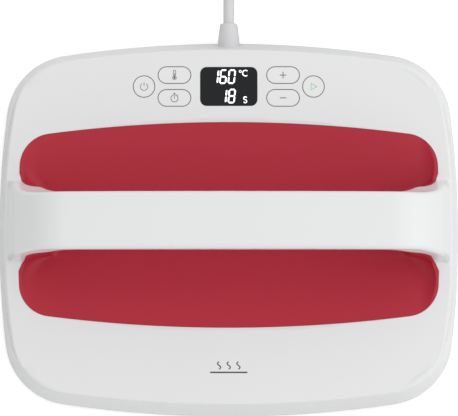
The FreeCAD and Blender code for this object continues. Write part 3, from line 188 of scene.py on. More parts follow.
def crown(x, y):
    """Height of the crowned top surface."""
    return CROWN_TOP - CROWN_RADIUS + np.sqrt(CROWN_RADIUS**2 - x**2 - y**2)


def side_share(y):
    """1 along the middle of the sides, fading to 0 where the corners end."""
    return smooth_step((SIDE_END - np.abs(y)) / (SIDE_END - SIDE_FULL))


def ledge(y):
    """The skirt's ledge, which dips along the sides.

    Gives its height, its outer and inner insets, and the slope of the wall above it.
    """
    share = side_share(y)
    draft = DRAFT + (SIDE_DRAFT - DRAFT) * share
    top_inset = SKIRT_INSET + DRAFT * (SKIRT_TOP - SKIRT_FOOT)
    top_inset += (SIDE_TOP_INSET - top_inset) * share
    height = SKIRT_TOP - LEDGE_START - (LEDGE_DROP - LEDGE_START) * share
    outer = SKIRT_INSET + draft * (height - SKIRT_FOOT)
    inner = outer + LEDGE_WIDTH * smooth_step(share * LEDGE_FADE)
    return height, outer, inner, (top_inset - inner) / (SKIRT_TOP - height)


def wall_inset(y, z):
    """Inset of the wall above the ledge."""
    height, _, inner, slope = ledge(y)
    return inner + slope * (z - height)


def handle_outline(x, z):
    """Distance outside the handle's arched outline across X: leaning legs, round shoulders, a crowned top."""
    a = HANDLE_LEAN
    reach = HANDLE_SIDE[0] * math.cos(a) + HANDLE_SIDE[1] * math.sin(a)
    low_z = HANDLE_TOP - HANDLE_CROWN
    inner = HANDLE_CROWN - HANDLE_CORNER
    # the shoulder's centre lies HANDLE_CORNER inside both the leg's line and the crown's circle
    line = reach - HANDLE_CORNER - low_z * math.sin(a)
    along = math.sqrt(inner**2 - line**2)
    cx = line * math.cos(a) - along * math.sin(a)
    cz = low_z + line * math.sin(a) + along * math.cos(a)
    x = np.abs(x)
    below = np.maximum(FOOT_TOP - z, 0)
    leg = x * math.cos(a) + z * math.sin(a) - reach - FOOT * below**2 / (below + FOOT_EASE)
    top = np.hypot(x, z - low_z) - HANDLE_CROWN
    shoulder = np.hypot(x - cx, z - cz) - HANDLE_CORNER
    turn = np.arctan2(z - cz, x - cx)
    in_shoulder = (turn > a) & (turn < math.atan2(cz - low_z, cx))
    return np.where(in_shoulder, shoulder, np.maximum(leg, top))


def casing(p):
    """Distance outside the casing's outer surface, before the hand opening is cut."""
    x, y, z = p.T
    wall = (wall_inset(y, z) - BODY.inset(x, y)) * WALL_SLANT
    body = round_max(wall, z - crown(x, y), SHOULDER)
    below = np.maximum(FLARE_TOP - z, 0)
    centre = HANDLE_CENTRE + LEG_SHIFT * smooth_step((LEG_SHIFT_TOP - z) / LEG_SHIFT_SPAN)
    flank = np.abs(y - centre) - HANDLE_HALF_DEPTH - FLARE * below**2 / (below + FLARE_EASE)
    handle = round_max(handle_outline(x, z), flank, HANDLE_EDGE)
    handle = round_max(handle, wall, 2 * OUTER_BLEND)
    blend = OUTER_BLEND + (BLEND - OUTER_BLEND) * smooth_step((BLEND_END - np.abs(x)) / BLEND_SPAN)
    return round_min(body, handle, blend)


def settle(p, field, steps=6, span=0.02):
    """Moves points on to the field's zero surface along its gradient."""
    for _ in range(steps):
        gradient = np.empty_like(p)
        for axis in range(3):
            shift = np.zeros(3)
            shift[axis] = span
            gradient[:, axis] = (field(p + shift) - field(p - shift)) / (2 * span)
        size = np.maximum(np.sum(gradient**2, axis=1), 0.05)
        p = p - gradient * (field(p) / size)[:, None]
    return p


def well_half(y):
    """Half-width of the hand opening: it narrows in an S of two quarter rounds to the legs' inner faces."""
    away = np.abs(y - WELL_SHIFT)
    t = np.clip((WELL_START - away) / (WELL_START - WELL_END), 0.0, 1.0)
    outer = WELL_HALF - (WELL_HALF - WELL_NECK) * (1 - np.sqrt(1 - t * t))
    bend = WELL_NECK - WELL_THROAT
    u = np.clip((away - WELL_END + bend) / bend, 0.0, 1.0)
    return np.where(away > WELL_END, outer, WELL_NECK - bend * np.sqrt(1 - u * u))


# ---------------------------------------------------------------- mesh helpers
def new_object(name, verts, faces):
    """A mesh object from vertices in millimetres."""
    mesh = bpy.data.meshes.new(name)
    mesh.from_pydata([tuple(c * MM for c in v) for v in verts], [], faces)
    mesh.validate()
    made = bpy.data.objects.new(name, mesh)
    bpy.context.scene.collection.objects.link(made)
    return made


def prism(name, loop, bottom, top):
    """A closed upright prism over an anticlockwise loop, between two heights."""
    n = len(loop)
    verts = [(x, y, bottom) for x, y in loop] + [(x, y, top) for x, y in loop]
    faces = [tuple(range(n - 1, -1, -1)), tuple(range(n, 2 * n))]
    faces += [(i, (i + 1) % n, n + (i + 1) % n, n + i) for i in range(n)]
    return new_object(name, verts, faces)


def tube_of(name, rings):
    """A closed solid through equal rings of points, with flat ends."""
    n = len(rings[0])
    verts = [v for ring in rings for v in ring]
    faces = [tuple(range(n)), tuple(range((len(rings) - 1) * n + n - 1, (len(rings) - 1) * n - 1, -1))]
    for k in range(len(rings) - 1):
        for i in range(n):
            j = (i + 1) % n
            faces.append((k * n + j, k * n + i, (k + 1) * n + i, (k + 1) * n + j))
    made = new_object(name, verts, faces)
    fix_normals(made)
    return made


def fix_normals(made):
    """Turns every face outwards."""
    bm = bmesh.new()
    bm.from_mesh(made.data)
    bmesh.ops.recalc_face_normals(bm, faces=bm.faces)
    bm.to_mesh(made.data)
    bm.free()


def apply_modifiers(made):
    """Makes the modifiers' result the object's own mesh."""
    graph = bpy.context.evaluated_depsgraph_get()
    mesh = bpy.data.meshes.new_from_object(made.evaluated_get(graph))
    old = made.data
    made.modifiers.clear()
    made.data = mesh
    bpy.data.meshes.remove(old)


def combine(made, other, operation, keep=False):
    """Boolean of two closed meshes; other is used up unless keep is set."""
    step = made.modifiers.new("boolean", "BOOLEAN")
    step.operation = operation
    step.solver = "MANIFOLD"
    step.object = other
    apply_modifiers(made)
    if not keep:
        drop(other)


def drop(made):
    """Removes an object, and its mesh when nothing else uses it."""
    mesh = made.data
    bpy.data.objects.remove(made)
    if mesh.users == 0:
        bpy.data.meshes.remove(mesh)


def copy_of(made, name):
    """A copy with a mesh of its own."""
    twin = made.copy()
    twin.data = made.data.copy()
    twin.name = name
    bpy.context.scene.collection.objects.link(twin)
    return twin


def shade(made, angle=50):
    """Smooth shading, with edges sharper than the angle kept crisp."""
    mesh = made.data
    mesh.polygons.foreach_set("use_smooth", [True] * len(mesh.polygons))
    mesh.set_sharp_from_angle(angle=math.radians(angle))


def drop_crumbs(made, smallest=40):
    """Removes the stray flakes a boolean can leave beside the one large piece."""
    bm = bmesh.new()
    bm.from_mesh(made.data)
    waiting = set(bm.verts)
    while waiting:
        island, edge = set(), [waiting.pop()]
        while edge:
            vert = edge.pop()
            island.add(vert)
            for link in vert.link_edges:
                other = link.other_vert(vert)
                if other in waiting:
                    waiting.remove(other)
                    edge.append(other)
        if len(island) < smallest:
            bmesh.ops.delete(bm, geom=list(island), context="VERTS")
    bm.to_mesh(made.data)
    bm.free()


def smooth_normals(made, field, reach=0.05, near=0.08, agreement=0.8):
    """Takes the shading normals from the formula wherever a face lies on its surface.

    A vertex counts when it is within near of the surface and its face agrees with the formula's direction.
    """
    mesh = made.data
    points = read_points(made)
    gradient = np.empty_like(points)
    for axis in range(3):
        shift = np.zeros(3)
        shift[axis] = reach
        gradient[:, axis] = field(points + shift) - field(points - shift)
    gradient /= np.maximum(np.linalg.norm(gradient, axis=1), 1e-9)[:, None]
    on_surface = np.abs(field(points)) < near
    corners = np.empty(len(mesh.loops), dtype=int)
    mesh.loops.foreach_get("vertex_index", corners)
    sizes = np.empty(len(mesh.polygons), dtype=int)
    mesh.polygons.foreach_get("loop_total", sizes)
    flat = np.empty(len(mesh.polygons) * 3)
    mesh.polygons.foreach_get("normal", flat)
    faces = np.repeat(flat.reshape(-1, 3), sizes, axis=0)
    aligned = np.sum(faces * gradient[corners], axis=1) > agreement
    # a normal of length zero leaves the automatic one in place
    normals = np.where((aligned & on_surface[corners])[:, None], gradient[corners], 0.0)
    mesh.normals_split_custom_set(normals.tolist())


# ---------------------------------------------------------------- casing and linings
ARC_STEPS = 22
STRAIGHT_STEPS = (8, 26, 8, 26)  # right side, roof, left side, floor
FLOOR_EDGE = 3


def rounded_section(y, grow):
    """One section of the hand opening at y, as a loop of points with its own corner radii."""
    half = float(well_half(y)) + grow
    low = WELL_FLOOR + FLOOR_RISE * (y - RIM_SHIFT) ** 2 - grow
    high = WELL_ROOF + ROOF_RISE * y * y + grow
    wide = (half - grow - WELL_THROAT) / (WELL_HALF - WELL_THROAT)
    r_low, r_high = LEG_CORNER + (FLOOR_CORNER - LEG_CORNER) * wide + grow, ROOF_CORNER + grow
    corners = [
        (half - r_low, low + r_low, r_low, -90), (half - r_high, high - r_high, r_high, 0),
        (-half + r_high, high - r_high, r_high, 90), (-half + r_low, low + r_low, r_low, 180),
    ]
    loop = []
    for i, (cx, cz, r, start) in enumerate(corners):
        for k in range(ARC_STEPS):
            a = math.radians(start + 90 * k / ARC_STEPS)
            loop.append((cx + r * math.cos(a), cz + r * math.sin(a)))
        a = math.radians(start + 90)
        end = (cx + r * math.cos(a), cz + r * math.sin(a))
        next_x, next_z, next_r, next_start = corners[(i + 1) % 4]
        b = math.radians(next_start)
        begin = (next_x + next_r * math.cos(b), next_z + next_r * math.sin(b))
        count = STRAIGHT_STEPS[i]
        for k in range(count):
            part = k / count
            dip = FLOOR_DIP * 4 * part * (1 - part) if i == FLOOR_EDGE else 0.0
            along_x = end[0] + (begin[0] - end[0]) * part
            along_z = end[1] + (begin[1] - end[1]) * part
            loop.append((along_x, along_z - dip))
    return [(x, y, z) for x, z in loop]


def opening(name, grow):
    """The hand opening as a closed solid, larger than the visible surface by grow.

    Its sections lie close together where the opening narrows and 2 mm apart beyond.
    """
    bend, span = WELL_NECK - WELL_THROAT, WELL_START - WELL_END
    turn_steps, middle_steps, outer_steps = 12, 6, 26
    turns = [math.radians(90 / turn_steps * k) for k in range(turn_steps + 1)]
    away = [(WELL_END - bend) * k / middle_steps for k in range(middle_steps)]
    away += [WELL_END - bend + bend * math.sin(a) for a in turns]
    away += [WELL_START - span * math.cos(a) for a in turns[1:]]
    away += [WELL_START + 2.0 * k for k in range(1, outer_steps + 1)]
    ys = [WELL_SHIFT - v for v in reversed(away[1:])] + [WELL_SHIFT + v for v in away]
    return tube_of(name, [rounded_section(y, grow) for y in ys])


def casing_closed(p):
    """The casing's outer surface, closed by a level face below."""
    return np.maximum(casing(p), SKIRT_FOOT - BLOCK_DEPTH - p[:, 2])


def casing_block():
    """The casing's solid outer form, settled on its formula from a coarse block."""
    voxel = 1.1
    body = prism("casing", BODY.points(SKIRT_INSET + 1.0), SKIRT_FOOT - BLOCK_DEPTH, 46.0)
    half_x, half_y = HANDLE_SIDE[0] - 6, 20
    bar = [(half_x, -half_y), (half_x, half_y), (-half_x, half_y), (-half_x, -half_y)]
    combine(body, prism("handle_block", bar, 30.0, HANDLE_TOP - 8), "UNION")
    for _ in range(2):
        remesh(body, voxel)
        write_points(body, settle(read_points(body), casing_closed))
    # evening out the faces and settling again, by turns, spreads the stair steps of the remesh
    for _ in range(6):
        even_out(body, 4)
        write_points(body, settle(read_points(body), casing_closed, steps=2))
    return body


def remesh(made, size):
    """Even small faces in place of the old ones."""
    step = made.modifiers.new("remesh", "REMESH")
    step.mode = "VOXEL"
    step.voxel_size = size * MM
    step.adaptivity = 0
    apply_modifiers(made)
    even_out(made, 6)


def even_out(made, iterations):
    """Moves each vertex towards the middle of its neighbours."""
    step = made.modifiers.new("even", "SMOOTH")
    step.factor = 0.5
    step.iterations = iterations
    apply_modifiers(made)


def read_points(made):
    """The vertices in millimetres."""
    flat = np.empty(len(made.data.vertices) * 3)
    made.data.vertices.foreach_get("co", flat)
    return flat.reshape(-1, 3) / MM


def write_points(made, points):
    """Puts the vertices at these places, given in millimetres."""
    made.data.vertices.foreach_set("co", (points * MM).ravel())
    made.data.update()


def rim_loop(grow):
    """The red lining's outline in plan, larger by grow: it gives way to the legs, which stay white."""
    loop = []
    for x, y in RIM.points(-grow, 0.75):
        y += RIM_SHIFT
        beyond = y + math.copysign(LEG_LIP + grow, y - WELL_SHIFT)
        limit = float(well_half(beyond)) + LEG_LIP + grow
        loop.append((max(-limit, min(limit, x)), y))
    return loop


def skirt_band():
    """The skirt below the ledge, as a closed solid that reaches into the casing."""
    band_depth, tuck, edge_drop, rise, reach_in = 5.0, 0.3, 0.3, 0.2, 4.0
    outline, inner_line = BODY.points(0.0), BODY.points(1.0)
    rings = [[] for _ in range(5)]
    for (x, y), (inner_x, inner_y) in zip(outline, inner_line):
        height, outer, inner, _ = (float(v) for v in ledge(y))
        # away from the sides the band withdraws into the casing's own wall
        hidden = tuck * (1 - float(smooth_step(side_share(y) * 8)))
        profile = (
            (SKIRT_INSET + hidden, SKIRT_FOOT - band_depth), (SKIRT_INSET + hidden, SKIRT_FOOT),
            (outer + hidden, height - edge_drop), (outer + hidden + edge_drop, height),
            (inner + reach_in, height + rise),
        )
        for ring, (inset, z) in zip(rings, profile):
            ring.append((x + (inner_x - x) * inset, y + (inner_y - y) * inset, z))
    return tube_of("skirt_band", rings)


def hollow():
    """The room inside the casing, following the crown near its edge and flat in the middle."""
    edge_slack = 1.5
    edge = SKIRT_INSET + WALL + DRAFT * (SKIRT_TOP - SKIRT_FOOT) - edge_slack
    rings = [[(x, y, -5.0) for x, y in BODY.points(edge)]]
    for inset in (edge, 20.0, 30.0, 40.0):
        rings.append([(x, y, float(crown(x, y)) - WALL) for x, y in BODY.points(inset)])
    rings.append([(x, y, HOLLOW_TOP) for x, y in BODY.points(42.0)])
    return tube_of("hollow", rings)


def build_casing():
    """The white casing with its hand opening, and the red linings that fill it."""
    block = casing_block()
    void = opening("void", 0.0)
    lining = opening("lining", LINER)
    combine(lining, prism("rim", rim_loop(0.0), 0.0, BEYOND), "INTERSECT")
    combine(lining, block, "INTERSECT", keep=True)
    combine(lining, void, "DIFFERENCE", keep=True)

    room = opening("room", LINER + SEAM)
    combine(room, prism("room_rim", rim_loop(SEAM), 0.0, BEYOND), "INTERSECT")
    combine(room, void, "UNION")
    combine(room, hollow(), "UNION")
    combine(block, skirt_band(), "UNION")
    combine(block, room, "DIFFERENCE")
    foot = prism("foot", BODY.points(-20), -20.0, SKIRT_FOOT)
    combine(block, foot, "DIFFERENCE")
    combine(block, panel_cutters(), "DIFFERENCE")
    drop_crumbs(block)
    block.name = "casing_white"
    shade(block)
    smooth_normals(block, casing)

    whole = [(-BEYOND, -BEYOND), (BEYOND, -BEYOND), (BEYOND, BEYOND), (-BEYOND, BEYOND)]
    split = prism("split", whole, LINER_SPLIT, BEYOND)
    grip = copy_of(lining, "grip_red")
    combine(grip, split, "INTERSECT")
    lower = prism("lower", whole, 0.0, LINER_SPLIT - SPLIT_GAP)
    combine(lining, lower, "INTERSECT")
    lining.name = "well_red"
    for made in (lining, grip):
        shade(made)
    return block, lining, grip


# ---------------------------------------------------------------- control panel
PANEL_Y = (window_low.y + window_high.y) / 2
BUTTONS = ("power", "temperature", "timer", "plus", "minus", "start")
CAP_LIP = 1.2
RING = 0.5
BUTTON_GAP, WINDOW_GAP = 0.1, 0.2
RING_SLACK = 0.02
WINDOW_CORNER = 4.7
SHORTEST_EDGE = 0.02


def button_box(name):
    """Centre and half sizes of a button's face, without its hidden lip."""
    low, high = low_high(name + "_button")
    centre = (low + high) / 2
    return centre.x, centre.y, (high.x - low.x) / 2 - CAP_LIP, (high.y - low.y) / 2 - CAP_LIP


def rounded_loop(cx, cy, half_x, half_y, radius, steps=10):
    """An anticlockwise rounded rectangle; a circle when the radius fills it."""
    radius = min(radius, half_x, half_y)
    loop = []
    for sx, sy, start in ((1, -1, -90), (1, 1, 0), (-1, 1, 90), (-1, -1, 180)):
        for k in range(steps + 1):
            a = math.radians(start + 90 * k / steps)
            x = cx + sx * (half_x - radius) + radius * math.cos(a)
            y = cy + sy * (half_y - radius) + radius * math.sin(a)
            if not loop or math.hypot(x - loop[-1][0], y - loop[-1][1]) > SHORTEST_EDGE:
                loop.append((x, y))
    if math.hypot(loop[0][0] - loop[-1][0], loop[0][1] - loop[-1][1]) < SHORTEST_EDGE:
        loop.pop()
    return loop


def button_loop(name, grow):
    """A button's outline, larger by grow."""
    x, y, half_x, half_y = button_box(name)
    return rounded_loop(x, y, half_x + grow, half_y + grow, min(half_x, half_y) + grow)


def window_loop(grow):
    """The display window's outline, larger by grow."""
    half_x = (window_high.x - window_low.x) / 2 - CAP_LIP
    half_y = (window_high.y - window_low.y) / 2 - CAP_LIP
    return rounded_loop(0, PANEL_Y, half_x + grow, half_y + grow, WINDOW_CORNER + grow)


def panel_cutters():
    """The openings of the display and the buttons, joined into one cutter."""
    cutter = prism("cutters", window_loop(WINDOW_GAP), 40.0, 60.0)
    for name in BUTTONS:
        combine(cutter, prism("cutter", button_loop(name, BUTTON_GAP + RING), 40.0, 60.0), "UNION")
    return cutter


def skin_patch(name, polygons, lift, thickness):
    """Flat shapes laid on the crowned top: each anticlockwise loop becomes a thin closed solid."""
    verts, faces = [], []
    for loop in polygons:
        n, first = len(loop), len(verts)
        for level in (lift - thickness, lift):
            verts += [(x, y, float(crown(x, y)) + level) for x, y in loop]
        faces.append(tuple(first + i for i in range(n - 1, -1, -1)))
        faces.append(tuple(first + n + i for i in range(n)))
        for i in range(n):
            j = (i + 1) % n
            faces.append((first + i, first + j, first + n + j, first + n + i))
    return new_object(name, verts, faces)


def ring_patch(name, outer, inner, lift, thickness):
    """A flat ring between two loops of equal length, as one closed solid."""
    n = len(outer)
    levels = (lift - thickness, lift)
    verts = []
    for loop in (outer, inner):
        for level in levels:
            verts += [(x, y, float(crown(x, y)) + level) for x, y in loop]
    faces = []
    for i in range(n):
        j = (i + 1) % n
        out_low, out_high, in_low, in_high = 0, n, 2 * n, 3 * n
        faces.append((out_low + i, out_low + j, out_high + j, out_high + i))
        faces.append((in_low + j, in_low + i, in_high + i, in_high + j))
        faces.append((out_high + i, out_high + j, in_high + j, in_high + i))
        faces.append((out_low + j, out_low + i, in_low + i, in_low + j))
    return new_object(name, verts, faces)


def stroke(points, width, closed=False):
    """A pen stroke of even width: one polygon, or when closed one four-sided piece for each step."""
    half = width / 2
    left, right = [], []
    n = len(points)
    for i, (x, y) in enumerate(points):
        before = points[i - 1] if (i or closed) else points[i]
        after = points[(i + 1) % n] if (i < n - 1 or closed) else points[i]
        dx, dy = after[0] - before[0], after[1] - before[1]
        size = math.hypot(dx, dy)
        nx, ny = -dy / size * half, dx / size * half
        left.append((x + nx, y + ny))
        right.append((x - nx, y - ny))
    if closed:
        return [
            [right[i], right[(i + 1) % n], left[(i + 1) % n], left[i]]
            for i in range(n)
        ]
    return [right + left[::-1]]


def arc_points(cx, cy, r, start, end, steps=24):
    turns = [math.radians(start + (end - start) * i / steps) for i in range(steps + 1)]
    return [(cx + r * math.cos(a), cy + r * math.sin(a)) for a in turns]


def disc(cx, cy, r, steps=24):
    return [arc_points(cx, cy, r, 0, 360, steps)[:-1]]


def circle_line(cx, cy, r, width, steps=32):
    return stroke(arc_points(cx, cy, r, 0, 360, steps)[:-1], width, closed=True)


PEN = 0.55


def power_symbol(cx, cy):
    bar = stroke([(cx, cy + 0.3), (cx, cy + 3.2)], PEN * 1.1)
    return stroke(arc_points(cx, cy - 0.1, 2.7, 125, 415), PEN * 1.1) + bar


def thermometer(cx, cy):
    stem = arc_points(cx, cy - 2.0, 1.35, 125, 415, 20) + arc_points(cx, cy + 2.9, 0.78, 0, 180, 8)
    bulb = disc(cx, cy - 2.0, 0.75, 16)
    column = stroke([(cx, cy - 1.6), (cx, cy + 1.2)], 0.5)
    return stroke(stem, 0.4, closed=True) + bulb + column


def stopwatch(cx, cy):
    cy -= 0.4
    shapes = circle_line(cx, cy, 2.6, 0.45)
    shapes += stroke([(cx, cy + 2.9), (cx, cy + 3.6)], 0.5)
    shapes += stroke([(cx - 0.8, cy + 3.75), (cx + 0.8, cy + 3.75)], 0.45)
    shapes += stroke([(cx + 2.1, cy + 2.3), (cx + 2.6, cy + 2.8)], 0.5)
    shapes += stroke([(cx, cy - 0.1), (cx, cy + 1.7)], 0.4)
    return shapes


def plus_sign(cx, cy):
    return stroke([(cx - 2.4, cy), (cx + 2.4, cy)], PEN) + stroke([(cx, cy - 2.4), (cx, cy + 2.4)], PEN)


def minus_sign(cx, cy):
    return stroke([(cx - 2.4, cy), (cx + 2.4, cy)], PEN)


def start_triangle(cx, cy):
    corner = [(cx - 1.7, cy - 2.5), (cx + 2.6, cy), (cx - 1.7, cy + 2.5)]
    return stroke(corner, 0.6, closed=True)


SYMBOLS = {
    "power": power_symbol, "temperature": thermometer, "timer": stopwatch,
    "plus": plus_sign, "minus": minus_sign, "start": start_triangle,
}

# which of the seven segments each figure lights: a is the top, then clockwise b to f, and g is the middle
SEGMENTS = {"0": "abcdef", "1": "bc", "6": "acdefg", "8": "abcdefg"}


def figure(char, left, bottom, width, height, pen, lean=0.1):
    """One seven-segment figure as a list of polygons."""
    half_h = height / 2
    bars = {
        "a": ((0, height), (width, height)), "b": ((width, height), (width, half_h)),
        "c": ((width, half_h), (width, 0)), "d": ((0, 0), (width, 0)),
        "e": ((0, 0), (0, half_h)), "f": ((0, half_h), (0, height)), "g": ((0, half_h), (width, half_h)),
    }
    shapes = []
    for key in SEGMENTS[char]:
        (x0, y0), (x1, y1) = bars[key]
        size = math.hypot(x1 - x0, y1 - y0)
        ux, uy = (x1 - x0) / size, (y1 - y0) / size
        gap, h = pen * 0.16, pen / 2
        a, b = gap, size - gap
        outline = [(a, 0), (a + h, -h), (b - h, -h), (b, 0), (b - h, h), (a + h, h)]
        placed = [(x0 + ux * s - uy * v, y0 + uy * s + ux * v) for s, v in outline]
        shapes.append([(left + px + lean * py, bottom + py) for px, py in placed])
    return shapes


def letter_c(cx, cy, r, pen):
    return stroke(arc_points(cx, cy, r, 50, 310, 16), pen)


def letter_s(cx, cy, r, pen):
    upper = arc_points(cx, cy + r, r, 20, 270, 12)
    lower = arc_points(cx, cy - r, r, 90, -160, 12)[1:]
    return stroke(upper + lower, pen)


def display_figures():
    """A temperature above a time, in seconds."""
    shapes = []
    top_row, low_row, wide, high, pen = PANEL_Y + 2.4, PANEL_Y - 11.9, 4.2, 9.6, 1.15
    for char, left in (("1", -12.6), ("6", -6.6), ("0", -0.4)):
        shapes += figure(char, left, top_row, wide, high, pen)
    for char, left in (("1", -6.6), ("8", -0.4)):
        shapes += figure(char, left, low_row, wide, high, pen)
    shapes += circle_line(8.4, top_row + high - 0.9, 0.8, 0.42, 16)
    shapes += letter_c(12.2, top_row + high - 2.2, 2.1, 0.75)
    shapes += letter_s(12.0, low_row + 2.1, 1.1, 0.7)
    return shapes


def heat_mark():
    """A plain pictogram: three waves of warm air over a flat line."""
    spacing, sway, rise, steps = 7.0, 1.15, 5.4, 16
    line_half, line_drop = 13.5, 3.9
    centre_y = -PANEL_Y - 0.2
    wave_foot = centre_y - 1.6
    shapes = []
    for x in (-spacing, 0.0, spacing):
        wave = []
        for t in range(steps + 1):
            wave.append((x + sway * math.sin(2 * math.pi * t / steps), wave_foot + rise * t / steps))
        shapes += stroke(wave, 0.85)
    line_y = centre_y - line_drop
    shapes += stroke([(-line_half, line_y), (line_half, line_y)], 1.1)
    return shapes


# ---------------------------------------------------------------- materials
class Nodes:
    """A short way to write a node material."""

    def __init__(self, name):
        self.material = bpy.data.materials.new(name)
        self.material.use_nodes = True
        self.tree = self.material.node_tree
        self.shader = self.tree.nodes["Principled BSDF"]
        self.coordinates = self.tree.nodes.new("ShaderNodeTexCoord")

    def add(self, kind, **inputs):
        node = self.tree.nodes.new(kind)
        for key, amount in inputs.items():
            node.inputs[key.replace("_", " ")].default_value = amount
        return node

    def link(self, source, target):
        self.tree.links.new(source, target)

    def noise(self, scale, detail=3.0, roughness=0.55, stretch=None):
        node = self.add("ShaderNodeTexNoise", Scale=scale, Detail=detail, Roughness=roughness)
        source = self.coordinates.outputs["Object"]
        if stretch:
            mapping = self.add("ShaderNodeMapping")
            mapping.inputs["Scale"].default_value = stretch
            self.link(source, mapping.inputs["Vector"])
            source = mapping.outputs["Vector"]
        self.link(source, node.inputs["Vector"])
        return node.outputs["Fac"]

    def remap(self, value, low, high):
        node = self.add("ShaderNodeMapRange")
        node.inputs["To Min"].default_value = low
        node.inputs["To Max"].default_value = high
        self.link(value, node.inputs["Value"])
        return node.outputs["Result"]

    def tint(self, value, dark, light):
        node = self.add("ShaderNodeMix")
        node.data_type = "RGBA"
        node.inputs["A"].default_value = (*dark, 1)
        node.inputs["B"].default_value = (*light, 1)
        self.link(value, node.inputs["Factor"])
        self.link(node.outputs["Result"], self.shader.inputs["Base Color"])

    def bump(self, value, strength, distance):
        node = self.add("ShaderNodeBump", Strength=strength, Distance=distance)
        self.link(value, node.inputs["Height"])
        self.link(node.outputs["Normal"], self.shader.inputs["Normal"])

    def set(self, **inputs):
        for key, amount in inputs.items():
            self.shader.inputs[key.replace("_", " ")].default_value = amount
        return self.material


def scaled(color, amount):
    return tuple(min(1.0, c * amount) for c in color)


def moulded(name, color, roughness, grain=0.02, variation=0.03, **extra):
    """Moulded plastic: faint colour drift, uneven gloss and a fine grain from the mould."""
    m = Nodes(name)
    drift = m.noise(9.0, 2.0)
    m.tint(drift, scaled(color, 1 - variation), scaled(color, 1 + variation))
    gloss = m.noise(60.0, 4.0)
    m.link(m.remap(gloss, roughness - 0.05, roughness + 0.06), m.shader.inputs["Roughness"])
    m.bump(m.noise(1800.0, 2.0), grain, 0.0002)
    return m.set(**extra)


def metal(name, color, roughness, stretch, brushed=0.05):
    """Metal with directional tool marks."""
    m = Nodes(name)
    lines = m.noise(220.0, 5.0, 0.6, stretch)
    m.tint(m.noise(14.0, 3.0), scaled(color, 0.9), scaled(color, 1.06))
    m.link(m.remap(lines, roughness - 0.08, roughness + 0.12), m.shader.inputs["Roughness"])
    m.bump(lines, brushed, 0.0002)
    return m.set(Metallic=1.0)


def felt(name, color):
    """Matted fibres."""
    m = Nodes(name)
    fibres = m.noise(700.0, 8.0, 0.75)
    m.tint(fibres, scaled(color, 0.75), scaled(color, 1.12))
    m.bump(fibres, 0.5, 0.0008)
    return m.set(Roughness=0.95)


def circuit(name, color):
    """Solder resist over faint copper tracks."""
    m = Nodes(name)
    tracks = m.add("ShaderNodeTexBrick", Scale=120.0)
    tracks.inputs["Color1"].default_value = (*color, 1)
    tracks.inputs["Color2"].default_value = (*scaled(color, 0.85), 1)
    tracks.inputs["Mortar"].default_value = (*scaled(color, 1.7), 1)
    tracks.inputs["Mortar Size"].default_value = 0.01
    m.link(m.coordinates.outputs["Object"], tracks.inputs["Vector"])
    m.link(tracks.outputs["Color"], m.shader.inputs["Base Color"])
    m.bump(tracks.outputs["Fac"], 0.15, 0.0001)
    return m.set(Roughness=0.35)


def coated(name, color):
    """The plate's non-stick coating: dark, slightly speckled, with a soft sheen."""
    m = Nodes(name)
    specks = m.noise(900.0, 4.0, 0.7)
    m.tint(specks, scaled(color, 0.75), scaled(color, 1.35))
    m.link(m.remap(m.noise(25.0, 3.0), 0.38, 0.5), m.shader.inputs["Roughness"])
    m.bump(specks, 0.12, 0.0003)
    return m.set(Metallic=0.3, Coat_Weight=0.25, Coat_Roughness=0.35)


def glowing(name, color, strength):
    """Lit figures of the display."""
    m = Nodes(name)
    m.tint(m.noise(300.0, 1.0), scaled(color, 0.96), color)
    m.shader.inputs["Emission Color"].default_value = (*color, 1)
    return m.set(Roughness=0.4, Emission_Strength=strength)


WHITE = (0.76, 0.765, 0.77)
RED = (0.45, 0.018, 0.04)

